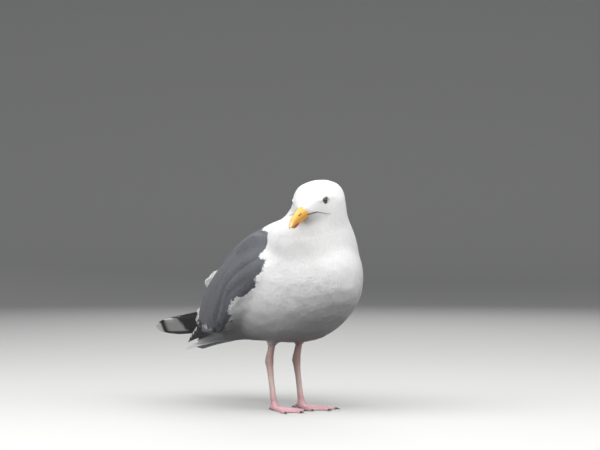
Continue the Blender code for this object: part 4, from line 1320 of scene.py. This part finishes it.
def studio():  # matte paper, which shows no gloss of the lights
    material = newMaterial("paleMattePaper", {"Base Color": (*linearColour(sweepShape["colour"]), 1),
                                              "Roughness": 0.9, "Specular IOR Level": 0.2})[0]
    flat, bend = sweepShape["flat"], sweepShape["bend"]
    profile = [(0.0, 0.0), (1.0, 0.0), (2.0, 0.0), (flat, 0.0)]
    for turn in np.linspace(0.1, math.pi / 2, 12):
        profile.append((flat + bend * math.sin(turn), bend - bend * math.cos(turn)))
    profile.append((flat + bend, sweepShape["wallTop"]))
    radius, z = np.array(profile).T[:, :, None]
    turns = np.linspace(0, 2 * math.pi, sweepShape["turns"])
    grid = np.stack(np.broadcast_arrays(standPoint[0] + radius * np.cos(turns),
                                        standPoint[1] + radius * np.sin(turns), z), -1)
    sweep = meshPiece("studioSweep", grid, gridFaces(1, *grid.shape[:2]), material)
    sweep.visible_diffuse = False  # the paper throws no light back up at the bird


lights = {  # places and aim from the stand point, sizes in metres and powers in watts
    "above": ((0.18, -0.90, 2.1), 2.2, 36.0, "#FFFEFC"),
    "ahead": ((1.35, 0.45, 1.5), 2.4, 40.0, "#FFFEFC"),
    "behind": ((-0.36, -1.75, 1.2), 1.8, 26.0, "#FCFCFA"),
    "fill": ((1.70, -1.07, 0.9), 1.8, 13.0, "#F8F8F3"),
    "back": ((-1.50, 1.50, 1.9), 1.8, 22.0, "#FFFEFC"),
}
lightAim = np.array([0, 0, 0.17])
room = {"colour": "#DDE3EA", "strength": 0.05}


def lightUp():
    for name, (at, size, power, colour) in lights.items():
        lamp = bpy.data.lights.new(name, "AREA")
        lamp.size = size
        lamp.energy = power
        lamp.color = linearColour(colour)
        holder = addObject(name, lamp)
        place = Vector(standPoint + np.array(at))
        aim = Vector(standPoint + lightAim) - place
        holder.location = place
        holder.rotation_euler = aim.to_track_quat("-Z", "Y").to_euler()
    world = bpy.data.worlds.new("softRoom")
    world.use_nodes = True
    background = world.node_tree.nodes["Background"]
    background.inputs["Color"].default_value = (*linearColour(room["colour"]), 1)
    background.inputs["Strength"].default_value = room["strength"]
    bpy.context.scene.world = world
    bpy.context.scene.view_settings.view_transform = "Standard"


cameraSettings = {"azimuth": math.radians(52), "distance": 2.45, "height": 0.258, "across": 0.0196,
                  "lens": 105.0, "sensor": 36.0}


def addCamera():
    turn = cameraSettings["azimuth"]
    forward = np.array([-math.sin(turn), math.cos(turn), 0])
    right = np.array([math.cos(turn), math.sin(turn), 0])
    place = standPoint - forward * cameraSettings["distance"] + right * cameraSettings["across"]
    place[2] = cameraSettings["height"]
    lens = bpy.data.cameras.new("camera")
    lens.lens = cameraSettings["lens"]
    lens.sensor_width = cameraSettings["sensor"]
    camera = addObject("camera", lens)
    camera.location = place
    camera.rotation_euler = Vector(forward).to_track_quat("-Z", "Y").to_euler()
    bpy.context.scene.camera = camera


studio()
lightUp()
addCamera()
